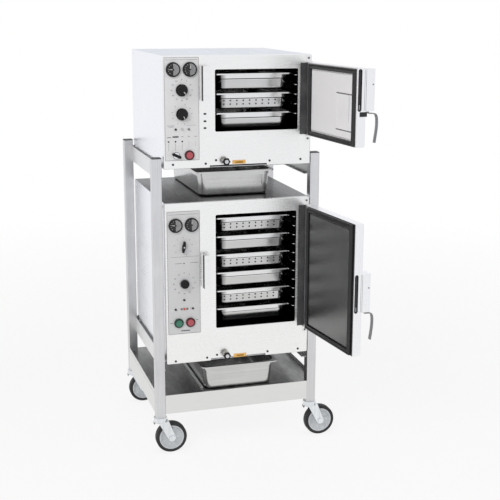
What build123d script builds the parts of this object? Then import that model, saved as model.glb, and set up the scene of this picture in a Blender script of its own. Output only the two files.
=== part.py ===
"""A double convection steamer: two steamer units, one above the other, on a stand with casters.

Frame: millimetres, +X to the viewer's right, +Y to the rear, +Z up.
The origin is on the floor, under the centre of the stand's four posts.
Both doors stand open, as in use, and the hinge angle is a driving dimension.
"""

import os
from math import cos, radians, sin

from build123d import *

os.makedirs("parts", exist_ok=True)

# Driving dimensions of the stand
STAND_WIDTH = 679.4
STAND_DEPTH = 622.3
POST_SIZE = 38.1
POST_WALL = 2.0
POST_CORNER = 2.5
POST_BOTTOM = 152.4
POST_TOP = 1204.8
CAP_THICK = 3.0
CAP_PLUG = 12.0
RAIL_SHEET = 3.0
RAIL_LEDGE = 34.0
RAIL_RETURN = 16.0
RAIL_HEIGHT = 63.5
UPPER_RAIL_DROP = 50.0
LOWER_RAIL_DROP = 42.0
SHELF_TOP = 248.2
SHELF_SHEET = 2.0
APRON_BOTTOM = 168.6
SIDE_APRON_TOP = 265.0
GUIDE_X = -142.5
GUIDE_WIDTH = 12.0
GUIDE_HEIGHT = 6.0

# Driving dimensions of the casters
WHEEL_RADIUS = 63.5
WHEEL_WIDTH = 32.0
TYRE_THICK = 13.0
CASTER_TRAIL = 43.0
AXLE_RADIUS = 5.0
AXLE_NUT = (9.0, 6.0)
STEM_LENGTH = 40.0
KINGPIN_RADIUS = 6.0
KINGPIN_HEAD = (11.0, 8.0)
FORK_SHEET = 4.0
FORK_GAP = 3.0
CROWN_Z = 131.0
CROWN_RADIUS = 27.0
CROWN_REACH = 32.0
FORK_EYE = 15.0
FORK_TOP = (-10.0, 31.0)
RACE_BOTTOM = 135.4
HUB_RADIUS = 14.0
HUB_PROUD = 2.0
WEB_THICK = 10.0
RIM_DEPTH = (6.0, 9.0)
POCKETS = 5
POCKET_RADIUS = 7.5
TREAD_CROWN = 4.0

# Driving dimensions shared by both units
UNIT_WIDTH = 590.6
UNIT_DEPTH = 609.6
FRONT_PROUD = 11.3
SHEET = 1.5
FRONT_PAN_DEPTH = 12.7
BEND_RADIUS = 5.0
NOTCH_WIDTH = 230.0
NOTCH_HEIGHT = 9.0
OPENING_CENTRE_X = 74.0
OPENING_WIDTH = 334.0
OPENING_CORNER = 6.0
LINER_WIDTH = 368.0
LINER_BACK = 576.0
LINER_FLANGE = 8.0
LINER_DROP = 8.0
LINER_RISE = 5.0

# Heights of each unit and of its opening
UPPER_BOTTOM = 1165.7
UPPER_TOP = 1592.2
UPPER_OPENING = (1303.5, 1539.0)
LOWER_BOTTOM = 381.7
LOWER_TOP = 1033.3
LOWER_OPENING = (517.0, 979.0)

# Driving dimensions of the doors
HINGE_X = 283.0
HINGE_OUT = 20.0
DOOR_REACH = 400.0
DOOR_HINGE_EDGE = 9.0
DOOR_THICK = 35.0
DOOR_INNER = -9.0
DOOR_SHEET = 1.5
HINGE_STILE = 20.0
STILE_CORNER = 7.0
LINER_BOSS = 4.0
GASKET_INSET = 3.0
GASKET_WIDTH = 22.0
GASKET_NEAR = 22.0
GASKET_FAR = 397.0
UPPER_DOOR = (1281.0, 1562.0)
LOWER_DOOR = (495.0, 1001.0)
UPPER_DOOR_ANGLE = 95.7
LOWER_DOOR_ANGLE = 96.8
PIN_RADIUS = 4.0
PIN_DEPTH = 22.0
EAR_THICK = 4.0
HINGE_PLATE = (28.0, 2.5)
RUNNING_FIT = 0.05
GAP = 0.3

# Driving dimensions of the latches
LATCH_DEPTH = 36.0
LATCH_WIDTH = 44.0
LATCH_WALL = 2.5
UPPER_LATCH = (1409.0, 1559.0)
LOWER_LATCH = (662.0, 810.0)
LEVER_WIDTH = 28.0
LEVER_THICK = 5.0
LEVER_DROP = 112.0
LEVER_PIVOT_RISE = 18.0
LEVER_CLEAR = 8.0
LEVER_OUT = 15.0
LEVER_LEAN = 3.0
LEVER_BENDS = (8.0, 16.0)
BOLT_THICK = 15.0
BOLT_LENGTH = 30.0
BOLT_INSET = 3.0
STRIKE_X = (-148.0, -119.0)
STRIKE_OUT = 33.0
STRIKE_SHEET = 2.0
UPPER_STRIKE = (1424.0, 1554.0)
LOWER_STRIKE = (692.0, 826.0)

# Driving dimensions of the pans
PAN_WIDTH = 325.0
PAN_LENGTH = 530.0
PAN_SHEET = 0.9
PAN_RIM = 10.0
PAN_LIP = 5.0
PAN_CORNER = 42.0
PAN_COLLAR = 20.0
PAN_STEP = 4.0
PAN_DRAFT = 6.0
PAN_FLOOR_FILLET = 10.0
FOOD_PAN_DEPTH = 62.0
DRIP_PAN_DEPTH = 101.0
PAN_FRONT = 38.0
UPPER_RIM = 1520.0
UPPER_PITCH = 75.0
LOWER_RIM = 957.0
LOWER_PITCH = 74.4
HOLE_RADIUS = 3.2
HOLE_PITCH = 26.0
HOLE_ROW = 14.0
UPPER_DRIP_X = 16.0
UPPER_DRIP_FRONT = 88.0
LOWER_DRIP_X = 12.0
LOWER_DRIP_FRONT = 12.0

# Driving dimensions of the pan racks
WIRE_RADIUS = 2.0
UPRIGHT_RADIUS = 2.5
RACK_FRONT = 20.0
RACK_BACK = 566.0
UPRIGHT_OVER = 10.0
GUIDE_BEND = 6.0

# Driving dimensions of the controls
OVERLAY_SHEET = 1.0
OVERLAY_CORNER = 3.0
UPPER_OVERLAY = (-291.0, -155.0, 1197.0, 1587.0)
LOWER_OVERLAY = (-289.0, -156.5, 505.0, 1002.0)
GAUGE_RADIUS = 28.0
GAUGE_PROUD = 9.0
GAUGE_RIM = 5.0
GAUGE_RECESS = 3.0
GAUGE_TAPER = 8
SHAFT_RADIUS = 3.0
BLOCK_DEPTH = 34.0
BLOCK_SIZE = 34.0
UPPER_KNOB_RADIUS = 22.8
LOWER_KNOB_RADIUS = 20.5
KNOB_DEPTH = 20.0
KNOB_SKIRT_LEDGE = 3.0
KNOB_TAPER = 4
KNOB_EDGE = 1.5
POINTER_WIDTH = 2.5
POINTER_DEPTH = 0.6
POINTER_ENDS = (1.5, 5.5)
DISC_DEPTH = 5.0
BUTTON_RADIUS = 13.0
BUTTON_RING = 18.7
BUTTON_RING_PROUD = 7.0
BUTTON_RING_LEDGE = 3.0
BUTTON_PROUD = 4.5
BUTTON_TRAVEL = 4.0
DRAIN_KNOB_RADIUS = 19.0
DRAIN_KNOB_DEPTH = 12.0
DRAIN_KNOB_EDGE = 1.2
LOBES = 6
LOBE_RADIUS = 5.0
DRAIN_BOSS = (7.0, 4.0)
VALVE_RADIUS = 11.0
VALVE_OUT = 16.0

# Driving dimensions of what is inside
PLENUM_DEPTH = 45.0
PLENUM_SIZE = 180.0
VENT_SLOTS = 8
VENT_PITCH = 18.0
VENT_SLOT = (150.0, 8.0)
FAN_RADIUS = 70.0
FAN_WIDTH = 26.0
FAN_SHAFT = 5.0
MOTOR_RADIUS = 42.0
MOTOR_LENGTH = 74.0
HEATER = (300.0, 400.0, 15.0)
FAN_HUB = 12.0
FAN_BACKPLATE = 2.0
FAN_BLADES = 12
FAN_BLADE = (32.0, 1.6)
FAN_BLADE_TURN = 25
FAN_FROM_WALL = 6.0
HEATER_FROM_FRONT = 110.0
RISER_FROM_FRONT = 60.0
PIPE_RADIUS = 10.0
OUTLET_RADIUS = 13.35
OUTLET_BORE = 10.4
OUTLET_OUT = 24.0
OUTLET_FLANGE = (18.35, 4.0)
OUTLET_NUT = 5.0
GLAND_RADIUS = 14.0
GLAND_BORE = 7.0
GLAND_OUT = 14.0
GLAND_LENGTH = 26.0
GLAND_NUT = 6.0
NUT_LEDGE = 4.0

# Places that follow from the sizes above
POST_X = (STAND_WIDTH - POST_SIZE) / 2
POST_Y = (STAND_DEPTH - POST_SIZE) / 2
POST_INNER_X = STAND_WIDTH / 2 - POST_SIZE
POST_INNER_Y = STAND_DEPTH / 2 - POST_SIZE
FRONT_Y = -STAND_DEPTH / 2 - FRONT_PROUD
BACK_Y = FRONT_Y + UNIT_DEPTH
LINER_X = (OPENING_CENTRE_X - LINER_WIDTH / 2, OPENING_CENTRE_X + LINER_WIDTH / 2)
UNITS = {
    "upper": (UPPER_BOTTOM, UPPER_TOP, UPPER_OPENING),
    "lower": (LOWER_BOTTOM, LOWER_TOP, LOWER_OPENING),
}


def save(builder, name):
    """Label a finished piece and write it under its node's name."""
    builder.part.label = name
    export_step(builder.part, f"parts/{name}.step")


def block(x0, x1, y0, y1, z0, z1, mode=Mode.ADD):
    """A box between two corners, added to or cut from the piece in hand."""
    with Locations(((x0 + x1) / 2, (y0 + y1) / 2, (z0 + z1) / 2)):
        Box(x1 - x0, y1 - y0, z1 - z0, mode=mode)


def facing_front(x, z, y=FRONT_Y):
    """A plane that faces the viewer, with its own x to the right and its own y up."""
    return Plane(origin=(x, y, z), x_dir=(1, 0, 0), z_dir=(0, -1, 0))


def facing_right(x, y, z):
    """A plane that faces +X, with its own x to the rear and its own y up."""
    return Plane(origin=(x, y, z), x_dir=(0, 1, 0), z_dir=(1, 0, 0))


# Stand: four square tube posts
with BuildPart() as posts:
    with BuildSketch(Plane.XY.offset(POST_BOTTOM)):
        with GridLocations(2 * POST_X, 2 * POST_Y, 2, 2):
            RectangleRounded(POST_SIZE, POST_SIZE, POST_CORNER)
            Rectangle(POST_SIZE - 2 * POST_WALL, POST_SIZE - 2 * POST_WALL, mode=Mode.SUBTRACT)
    extrude(amount=POST_TOP - POST_BOTTOM)
save(posts, "posts")

# Plastic caps: a thin head on each post and a plug inside it
with BuildPart() as post_caps:
    with BuildSketch(Plane.XY.offset(POST_TOP)):
        with GridLocations(2 * POST_X, 2 * POST_Y, 2, 2):
            RectangleRounded(POST_SIZE, POST_SIZE, POST_CORNER)
    extrude(amount=CAP_THICK)
    with BuildSketch(Plane.XY.offset(POST_TOP)):
        with GridLocations(2 * POST_X, 2 * POST_Y, 2, 2):
            Rectangle(POST_SIZE - 2 * POST_WALL - GAP, POST_SIZE - 2 * POST_WALL - GAP)
    extrude(amount=-CAP_PLUG)
save(post_caps, "post_caps")

# Folded rails between the posts: an upstand beside each unit and a ledge under it
with BuildPart() as stand_rails:
    for seat, drop in ((UPPER_BOTTOM, UPPER_RAIL_DROP), (LOWER_BOTTOM, LOWER_RAIL_DROP)):
        low = seat - drop
        outer = POST_INNER_X + 2 * RAIL_SHEET
        for side in (-1, 1):
            ledge = sorted((side * (outer - RAIL_LEDGE - RAIL_SHEET), side * outer))
            lip = sorted((side * (outer - RAIL_RETURN), side * outer))
            leg = sorted((side * (outer - RAIL_SHEET), side * outer))
            block(*leg, -POST_INNER_Y, POST_INNER_Y, low, low + RAIL_HEIGHT)
            block(*ledge, -POST_INNER_Y, POST_INNER_Y, seat - RAIL_SHEET, seat)
            block(*lip, -POST_INNER_Y, POST_INNER_Y, low, low + RAIL_SHEET)
        back = POST_INNER_Y + RAIL_LEDGE
        block(-POST_INNER_X, POST_INNER_X, back - RAIL_SHEET, back, low, low + RAIL_HEIGHT)
        block(-POST_INNER_X, POST_INNER_X, POST_INNER_Y, back, seat - RAIL_SHEET, seat)
save(stand_rails, "stand_rails")

# Bottom shelf: a flat floor with corner notches, side aprons flush with the posts, and a guide strip
with BuildPart() as bottom_shelf:
    half_x, half_y = STAND_WIDTH / 2, STAND_DEPTH / 2
    with BuildSketch(Plane.XY.offset(SHELF_TOP)):
        Rectangle(STAND_WIDTH, STAND_DEPTH)
        with GridLocations(2 * POST_X, 2 * POST_Y, 2, 2):
            Rectangle(POST_SIZE, POST_SIZE, mode=Mode.SUBTRACT)
    extrude(amount=-SHELF_SHEET)
    for side in (-1, 1):
        end = sorted((side * half_y, side * (half_y - SHELF_SHEET)))
        flank = sorted((side * half_x, side * (half_x - SHELF_SHEET)))
        block(-POST_INNER_X, POST_INNER_X, *end, APRON_BOTTOM, SHELF_TOP)
        block(*flank, -POST_INNER_Y, POST_INNER_Y, APRON_BOTTOM, SIDE_APRON_TOP)
    guide = (GUIDE_X - GUIDE_WIDTH / 2, GUIDE_X + GUIDE_WIDTH / 2)
    block(*guide, -POST_INNER_Y, POST_INNER_Y, SHELF_TOP, SHELF_TOP + GUIDE_HEIGHT)
save(bottom_shelf, "bottom_shelf")

# Caster stems: a plug in each post, a bearing race under it and the kingpin with its nut
with BuildPart() as caster_stems:
    with GridLocations(2 * POST_X, 2 * POST_Y, 2, 2):
        with Locations((0, 0, POST_BOTTOM)):
            plug = POST_SIZE - 2 * POST_WALL - GAP
            Box(plug, plug, STEM_LENGTH, align=(Align.CENTER, Align.CENTER, Align.MIN))
        with Locations((0, 0, RACE_BOTTOM)):
            race_height = POST_BOTTOM - RACE_BOTTOM
            Cylinder(CROWN_RADIUS, race_height, align=(Align.CENTER, Align.CENTER, Align.MIN))
        with Locations((0, 0, CROWN_Z - GAP)):
            pin_height = RACE_BOTTOM - CROWN_Z + GAP
            Cylinder(KINGPIN_RADIUS, pin_height, align=(Align.CENTER, Align.CENTER, Align.MIN))
        with Locations((0, 0, CROWN_Z - GAP)):
            Cylinder(*KINGPIN_HEAD, align=(Align.CENTER, Align.CENTER, Align.MAX))
save(caster_stems, "caster_stems")


def caster(name, post_x, post_y):
    """One swivel caster that trails to +X: a pressed fork with its axle, and a wheel with its tyre."""
    inner = WHEEL_WIDTH / 2 + FORK_GAP
    outer = inner + FORK_SHEET
    axle = (CASTER_TRAIL, WHEEL_RADIUS)
    crown_top = RACE_BOTTOM - GAP
    with BuildPart() as fork:
        with BuildSketch(Plane(origin=(post_x, post_y, CROWN_Z))):
            Circle(CROWN_RADIUS)
            with Locations((CROWN_REACH / 2, 0)):
                Rectangle(CROWN_REACH, 2 * outer)
            Circle(KINGPIN_RADIUS + RUNNING_FIT, mode=Mode.SUBTRACT)
        extrude(amount=crown_top - CROWN_Z)
        for side in (-1, 1):
            face = Plane(origin=(post_x, post_y + side * inner, 0), x_dir=(1, 0, 0), z_dir=(0, -1, 0))
            with BuildSketch(face):
                with Locations(axle):
                    Circle(FORK_EYE)
                with Locations((sum(FORK_TOP) / 2, (CROWN_Z + crown_top) / 2)):
                    Rectangle(FORK_TOP[1] - FORK_TOP[0], crown_top - CROWN_Z)
                make_hull()
                with Locations(axle):
                    Circle(AXLE_RADIUS + GAP / 10, mode=Mode.SUBTRACT)
            extrude(amount=-side * FORK_SHEET)
        with Locations(Plane(origin=(post_x + CASTER_TRAIL, post_y, WHEEL_RADIUS), z_dir=(0, 1, 0))):
            Cylinder(AXLE_RADIUS, 2 * outer + 2)
            seat = outer + AXLE_NUT[1] / 2
            with Locations((0, 0, seat), (0, 0, -seat)):
                Cylinder(*AXLE_NUT)
    save(fork, f"{name}_fork")

    with BuildPart() as wheel:
        axle_centre = (post_x + CASTER_TRAIL, post_y, WHEEL_RADIUS)
        centre = Plane(origin=axle_centre, x_dir=(1, 0, 0), z_dir=(0, -1, 0))
        rim = WHEEL_RADIUS - TYRE_THICK
        half = WHEEL_WIDTH / 2
        section = Plane(origin=centre.origin, x_dir=(1, 0, 0), z_dir=(0, 0, 1))
        bore, web = AXLE_RADIUS + RUNNING_FIT, WEB_THICK / 2
        end, edge = half + HUB_PROUD, half - HUB_PROUD
        lip, well = (rim - depth for depth in RIM_DEPTH)
        with BuildSketch(section):
            with BuildLine():
                Polyline(
                    (bore, -end), (HUB_RADIUS, -end), (HUB_RADIUS, -web), (well, -web), (lip, -edge),
                    (rim, -edge), (rim, edge), (lip, edge), (well, web), (HUB_RADIUS, web),
                    (HUB_RADIUS, end), (bore, end), close=True
                )
            make_face()
        revolve(axis=Axis(centre.origin, (0, 1, 0)))
        with BuildSketch(centre):
            with PolarLocations((HUB_RADIUS + well) / 2, POCKETS):
                Circle(POCKET_RADIUS)
        extrude(amount=half, both=True, mode=Mode.SUBTRACT)
        with BuildSketch(section):
            with BuildLine():
                seat = rim + RUNNING_FIT / 2
                shoulder = WHEEL_RADIUS - TREAD_CROWN
                Polyline((shoulder, half), (seat, half), (seat, -half), (shoulder, -half))
                ThreePointArc((shoulder, -half), (WHEEL_RADIUS, 0), (shoulder, half))
            make_face()
        revolve(axis=Axis(centre.origin, (0, 1, 0)))
    save(wheel, f"{name}_wheel")


for name, sx, sy in (
    ("front_left", -1, -1), ("front_right", 1, -1), ("rear_left", -1, 1), ("rear_right", 1, 1)
):
    caster(name, sx * POST_X, sy * POST_Y)

# Outer casings: folded sheet tubes, open to the front pan and to the back panel
with BuildPart() as casings:
    for bottom, top, opening in UNITS.values():
        with BuildSketch(facing_front(0, (bottom + top) / 2, FRONT_Y + FRONT_PAN_DEPTH)):
            RectangleRounded(UNIT_WIDTH, top - bottom, BEND_RADIUS)
            RectangleRounded(
                UNIT_WIDTH - 2 * SHEET, top - bottom - 2 * SHEET, BEND_RADIUS - SHEET, mode=Mode.SUBTRACT
            )
        extrude(amount=-(UNIT_DEPTH - FRONT_PAN_DEPTH - SHEET))
save(casings, "casings")

# Places on the two fronts, as (x, z)
GAUGES = ((-255.0, 1541.0), (-191.0, 1541.0), (-254.0, 946.0), (-190.0, 946.0))
UPPER_TIMER = (-223.0, 1464.0)
UPPER_MODE = (-223.0, 1374.0)
UPPER_SELECTOR = (-247.0, 1218.0)
UPPER_STOP = (-196.0, 1218.0)
LOWER_POWER = (-224.0, 861.0)
LOWER_TIMER = (-222.0, 712.0)
LOWER_START = (-246.0, 552.0)
LOWER_STOP = (-199.0, 552.0)
KNOB_PLACES = (UPPER_TIMER, UPPER_MODE, UPPER_SELECTOR, LOWER_POWER, LOWER_TIMER)
BUTTON_PLACES = (UPPER_STOP, LOWER_START, LOWER_STOP)
LAMP_RADIUS = 4.0
LAMP_PROUD = 2.0
LAMP_LENGTH = 14.0
UPPER_LAMPS = tuple((x, 1317.0) for x in (-248.0, -223.0, -197.0))
LOWER_LAMPS = ((-223.0, 645.0), (-258.0, 608.0), (-223.0, 608.0), (-188.0, 608.0))
DRAIN_PLACES = ((-55.0, 1190.0), (-54.0, 404.0))
GAUGE_BODY = GAUGE_RADIUS - GAUGE_RIM
SHAFT_HOLE = SHAFT_RADIUS + 1
BARREL_RADIUS = BUTTON_RING - BUTTON_RING_LEDGE
FACE_Y = FRONT_Y - OVERLAY_SHEET
PLENUM_Y = FRONT_Y + 300.0
REAR_PORT_RISE = 60.0
OUTLET_X = OPENING_CENTRE_X
GLAND_X = -200.0
PLENUM_X = (LINER_X[0] - SHEET - PLENUM_DEPTH, LINER_X[0] - SHEET)


def round_holes(places, radius, y, depth):
    """Cut round holes through a sheet of the front, from its outer face to the rear."""
    for x, z in places:
        with BuildSketch(facing_front(x, z, y)) as hole:
            Circle(radius)
        extrude(hole.sketch, amount=-depth, mode=Mode.SUBTRACT)


# Front pans: a bent sheet front with the cavity opening, the holes of the controls and a low notch
with BuildPart() as front_panels:
    for bottom, top, opening in UNITS.values():
        middle, height = (bottom + top) / 2, top - bottom
        with BuildPart(mode=Mode.PRIVATE) as pan_blank:
            with BuildSketch(facing_front(0, middle)):
                RectangleRounded(UNIT_WIDTH, height, BEND_RADIUS)
            extrude(amount=-FRONT_PAN_DEPTH)
            fillet(pan_blank.faces().sort_by(Axis.Y)[0].edges(), 2 * SHEET)
            with BuildSketch(facing_front(0, middle, FRONT_Y + SHEET)):
                RectangleRounded(UNIT_WIDTH - 2 * SHEET, height - 2 * SHEET, BEND_RADIUS - SHEET)
            extrude(amount=-FRONT_PAN_DEPTH, mode=Mode.SUBTRACT)
        add(pan_blank.part)
        with BuildSketch(facing_front(OPENING_CENTRE_X, sum(opening) / 2)):
            RectangleRounded(OPENING_WIDTH, opening[1] - opening[0], OPENING_CORNER)
        extrude(amount=-SHEET, mode=Mode.SUBTRACT)
        notch = (-NOTCH_WIDTH / 2, NOTCH_WIDTH / 2)
        block(*notch, FRONT_Y, FRONT_Y + FRONT_PAN_DEPTH, bottom, bottom + NOTCH_HEIGHT, Mode.SUBTRACT)
    round_holes(GAUGES, GAUGE_BODY + GAP, FRONT_Y, SHEET)
    round_holes(KNOB_PLACES, SHAFT_HOLE, FRONT_Y, SHEET)
    round_holes(BUTTON_PLACES, BARREL_RADIUS + GAP, FRONT_Y, SHEET)
    round_holes(UPPER_LAMPS + LOWER_LAMPS, LAMP_RADIUS + RUNNING_FIT, FRONT_Y, SHEET)
    round_holes(DRAIN_PLACES, VALVE_RADIUS + GAP, FRONT_Y, SHEET)
save(front_panels, "front_panels")

# Back panels: flat sheets with the holes of the drain outlet and of the cable gland
with BuildPart() as back_panels:
    for bottom, top, opening in UNITS.values():
        with BuildSketch(facing_front(0, (bottom + top) / 2, BACK_Y)):
            RectangleRounded(UNIT_WIDTH, top - bottom, BEND_RADIUS)
            port_y = bottom + REAR_PORT_RISE - (bottom + top) / 2
            with Locations((OUTLET_X, port_y)):
                Circle(OUTLET_RADIUS + GAP, mode=Mode.SUBTRACT)
            with Locations((GLAND_X, port_y)):
                Circle(GLAND_RADIUS + GAP, mode=Mode.SUBTRACT)
        extrude(amount=SHEET)
save(back_panels, "back_panels")

# Cooking cavities: a welded liner with a front flange, and a fan plenum behind a slotted left wall
with BuildPart() as cavities:
    for bottom, top, opening in UNITS.values():
        floor, ceiling = opening[0] - LINER_DROP, opening[1] + LINER_RISE
        front, back = FRONT_Y + SHEET, FRONT_Y + LINER_BACK
        mid_z = sum(opening) / 2
        plenum_y = (PLENUM_Y - PLENUM_SIZE / 2, PLENUM_Y + PLENUM_SIZE / 2)
        plenum_z = (mid_z - PLENUM_SIZE / 2, mid_z + PLENUM_SIZE / 2)
        x0, x1 = LINER_X
        rim = SHEET + LINER_FLANGE
        block(x0 - SHEET, x1 + SHEET, front, back + SHEET, floor - SHEET, ceiling + SHEET)
        block(x0 - rim, x1 + rim, front, front + SHEET, floor - rim, ceiling + rim)
        block(
            PLENUM_X[0] - SHEET, x0, plenum_y[0] - SHEET, plenum_y[1] + SHEET,
            plenum_z[0] - SHEET, plenum_z[1] + SHEET
        )
        block(x0, x1, front, back, floor, ceiling, Mode.SUBTRACT)
        block(*PLENUM_X, *plenum_y, *plenum_z, Mode.SUBTRACT)
        with BuildSketch(facing_right(x0, PLENUM_Y, mid_z)):
            with GridLocations(0, VENT_PITCH, 1, VENT_SLOTS):
                SlotOverall(*VENT_SLOT)
        extrude(amount=-SHEET, mode=Mode.SUBTRACT)
        with BuildSketch(facing_right(PLENUM_X[0], PLENUM_Y, mid_z)):
            Circle(FAN_SHAFT + 1)
        extrude(amount=-SHEET, mode=Mode.SUBTRACT)
save(cavities, "cavities")

# Pan racks: two wire side frames in each cavity, each with U-shaped guides between its uprights
FOOD_RIMS = {
    "upper": [UPPER_RIM - UPPER_PITCH * i for i in range(3)],
    "lower": [LOWER_RIM - LOWER_PITCH * i for i in range(6)],
}
PITCHES = {"upper": UPPER_PITCH, "lower": LOWER_PITCH}
with BuildPart() as pan_racks:
    for unit, (bottom, top, opening) in UNITS.items():
        floor = opening[0] - LINER_DROP
        rests = [rim - PAN_LIP - GAP - WIRE_RADIUS for rim in FOOD_RIMS[unit]]
        levels = rests + [rest - PITCHES[unit] / 2 for rest in rests[:-1]]
        for side in (-1, 1):
            wall = OPENING_CENTRE_X + side * (LINER_WIDTH / 2 - UPRIGHT_RADIUS - GAP / 3)
            guide_x = OPENING_CENTRE_X + side * (PAN_WIDTH / 2 - PAN_SHEET / 2)
            for y in (FRONT_Y + RACK_FRONT, FRONT_Y + RACK_BACK):
                with Locations((wall, y, floor)):
                    Cylinder(
                        UPRIGHT_RADIUS, max(rests) + UPRIGHT_OVER - floor,
                        align=(Align.CENTER, Align.CENTER, Align.MIN)
                    )
            with BuildLine(mode=Mode.PRIVATE) as route:
                FilletPolyline(
                    (wall, FRONT_Y + RACK_FRONT), (guide_x, FRONT_Y + RACK_FRONT),
                    (guide_x, FRONT_Y + RACK_BACK), (wall, FRONT_Y + RACK_BACK), radius=GUIDE_BEND
                )
            with BuildPart(mode=Mode.PRIVATE) as guide_wire:
                with BuildSketch(Plane(origin=route.line @ 0, z_dir=route.line % 0)):
                    Circle(WIRE_RADIUS)
                sweep(path=route.line)
            with Locations(*[(0, 0, level) for level in levels]):
                add(guide_wire.part)
save(pan_racks, "pan_racks")

# Control overlays: thin plates behind the knobs
with BuildPart() as control_overlays:
    for x0, x1, z0, z1 in (UPPER_OVERLAY, LOWER_OVERLAY):
        with BuildSketch(facing_front((x0 + x1) / 2, (z0 + z1) / 2)):
            RectangleRounded(x1 - x0, z1 - z0, OVERLAY_CORNER)
        extrude(amount=OVERLAY_SHEET)
    round_holes(GAUGES, GAUGE_BODY + GAP, FACE_Y, OVERLAY_SHEET)
    round_holes(KNOB_PLACES, SHAFT_HOLE, FACE_Y, OVERLAY_SHEET)
    round_holes(BUTTON_PLACES, BARREL_RADIUS + GAP, FACE_Y, OVERLAY_SHEET)
    round_holes(UPPER_LAMPS + LOWER_LAMPS, LAMP_RADIUS + RUNNING_FIT, FACE_Y, OVERLAY_SHEET)
save(control_overlays, "control_overlays")

# Indicators: dial gauges with a bezel and a recessed dial, and round lamps
with BuildPart() as indicators:
    for x, z in GAUGES:
        with BuildSketch(facing_front(x, z, FACE_Y)):
            Circle(GAUGE_RADIUS)
        extrude(amount=GAUGE_PROUD, taper=GAUGE_TAPER)
        with BuildSketch(facing_front(x, z, FACE_Y - GAUGE_PROUD)):
            Circle(GAUGE_BODY)
        extrude(amount=-GAUGE_RECESS, mode=Mode.SUBTRACT)
        with BuildSketch(facing_front(x, z, FACE_Y)):
            Circle(GAUGE_BODY)
        extrude(amount=-BLOCK_DEPTH)
    for x, z in UPPER_LAMPS + LOWER_LAMPS:
        with BuildSketch(facing_front(x, z, FACE_Y - LAMP_PROUD)):
            Circle(LAMP_RADIUS)
        extrude(amount=-LAMP_LENGTH)
save(indicators, "indicators")

# Switch blocks behind the panel: each carries a knob's shaft or, with a ring in front, a button
BUTTON_FRONT = FACE_Y - BUTTON_RING_PROUD
BUTTON_CAP_LENGTH = 12.0
BUTTON_SEAT = BUTTON_FRONT - BUTTON_PROUD + BUTTON_CAP_LENGTH + BUTTON_TRAVEL + GAP
BLOCK_FRONT = FRONT_Y + SHEET
with BuildPart() as switch_blocks:
    for x, z in KNOB_PLACES + BUTTON_PLACES:
        half = BLOCK_SIZE / 2
        block(x - half, x + half, BLOCK_FRONT, BLOCK_FRONT + BLOCK_DEPTH, z - half, z + half)
    for x, z in BUTTON_PLACES:
        with BuildSketch(facing_front(x, z, BUTTON_FRONT)):
            Circle(BUTTON_RING)
        extrude(amount=-BUTTON_RING_PROUD)
        with BuildSketch(facing_front(x, z, FACE_Y)):
            Circle(BARREL_RADIUS)
        extrude(amount=-(BLOCK_FRONT - FACE_Y))
    round_holes(BUTTON_PLACES, BUTTON_RADIUS + GAP, BUTTON_FRONT, BUTTON_SEAT - BUTTON_FRONT)
    bore = BLOCK_FRONT + BLOCK_DEPTH - BUTTON_FRONT
    round_holes(KNOB_PLACES + BUTTON_PLACES, SHAFT_RADIUS + RUNNING_FIT, BUTTON_FRONT, bore)
save(switch_blocks, "switch_blocks")


def push_button(name, place):
    """A round cap on a stem that slides in its ring."""
    with BuildPart() as button:
        with BuildSketch(facing_front(*place, BUTTON_FRONT - BUTTON_PROUD)):
            Circle(BUTTON_RADIUS)
        extrude(amount=-BUTTON_CAP_LENGTH)
        fillet(button.faces().sort_by(Axis.Y)[0].edges(), KNOB_EDGE)
        with BuildSketch(facing_front(*place, BUTTON_SEAT)):
            Circle(SHAFT_RADIUS)
        extrude(amount=BUTTON_TRAVEL + 2 * GAP)
        with BuildSketch(facing_front(*place, BUTTON_SEAT)):
            Circle(SHAFT_RADIUS)
        extrude(amount=-(BLOCK_DEPTH / 2))
    save(button, name)


push_button("upper_stop_button", UPPER_STOP)
push_button("lower_start_button", LOWER_START)
push_button("lower_stop_button", LOWER_STOP)


def round_knob(name, place, radius, turn):
    """A round knob with a skirt and a raised pointer rib, turned clockwise from twelve o'clock."""
    foot = FACE_Y - GAP
    near, far = POINTER_ENDS[0], radius - POINTER_ENDS[1]
    with BuildPart() as knob:
        with BuildSketch(facing_front(*place, foot)):
            Circle(radius)
        extrude(amount=KNOB_DEPTH / 3)
        with BuildSketch(facing_front(*place, foot - KNOB_DEPTH / 3)):
            Circle(radius - KNOB_SKIRT_LEDGE)
        extrude(amount=2 * KNOB_DEPTH / 3, taper=KNOB_TAPER)
        fillet(knob.faces().sort_by(Axis.Y)[0].edges(), KNOB_EDGE)
        with BuildSketch(facing_front(*place, foot)):
            Circle(SHAFT_RADIUS)
        extrude(amount=-(BLOCK_DEPTH / 2 + SHEET))
        with BuildSketch(facing_front(*place, foot - KNOB_DEPTH)):
            with Locations(Location((0, 0), -turn)):
                with Locations((0, (near + far) / 2)):
                    Rectangle(POINTER_WIDTH, far - near)
        extrude(amount=-POINTER_DEPTH, mode=Mode.SUBTRACT)
    save(knob, name)


round_knob("upper_timer_knob", UPPER_TIMER, UPPER_KNOB_RADIUS, 140)
round_knob("upper_mode_knob", UPPER_MODE, UPPER_KNOB_RADIUS, 157)
round_knob("lower_timer_knob", LOWER_TIMER, LOWER_KNOB_RADIUS, 0)


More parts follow.
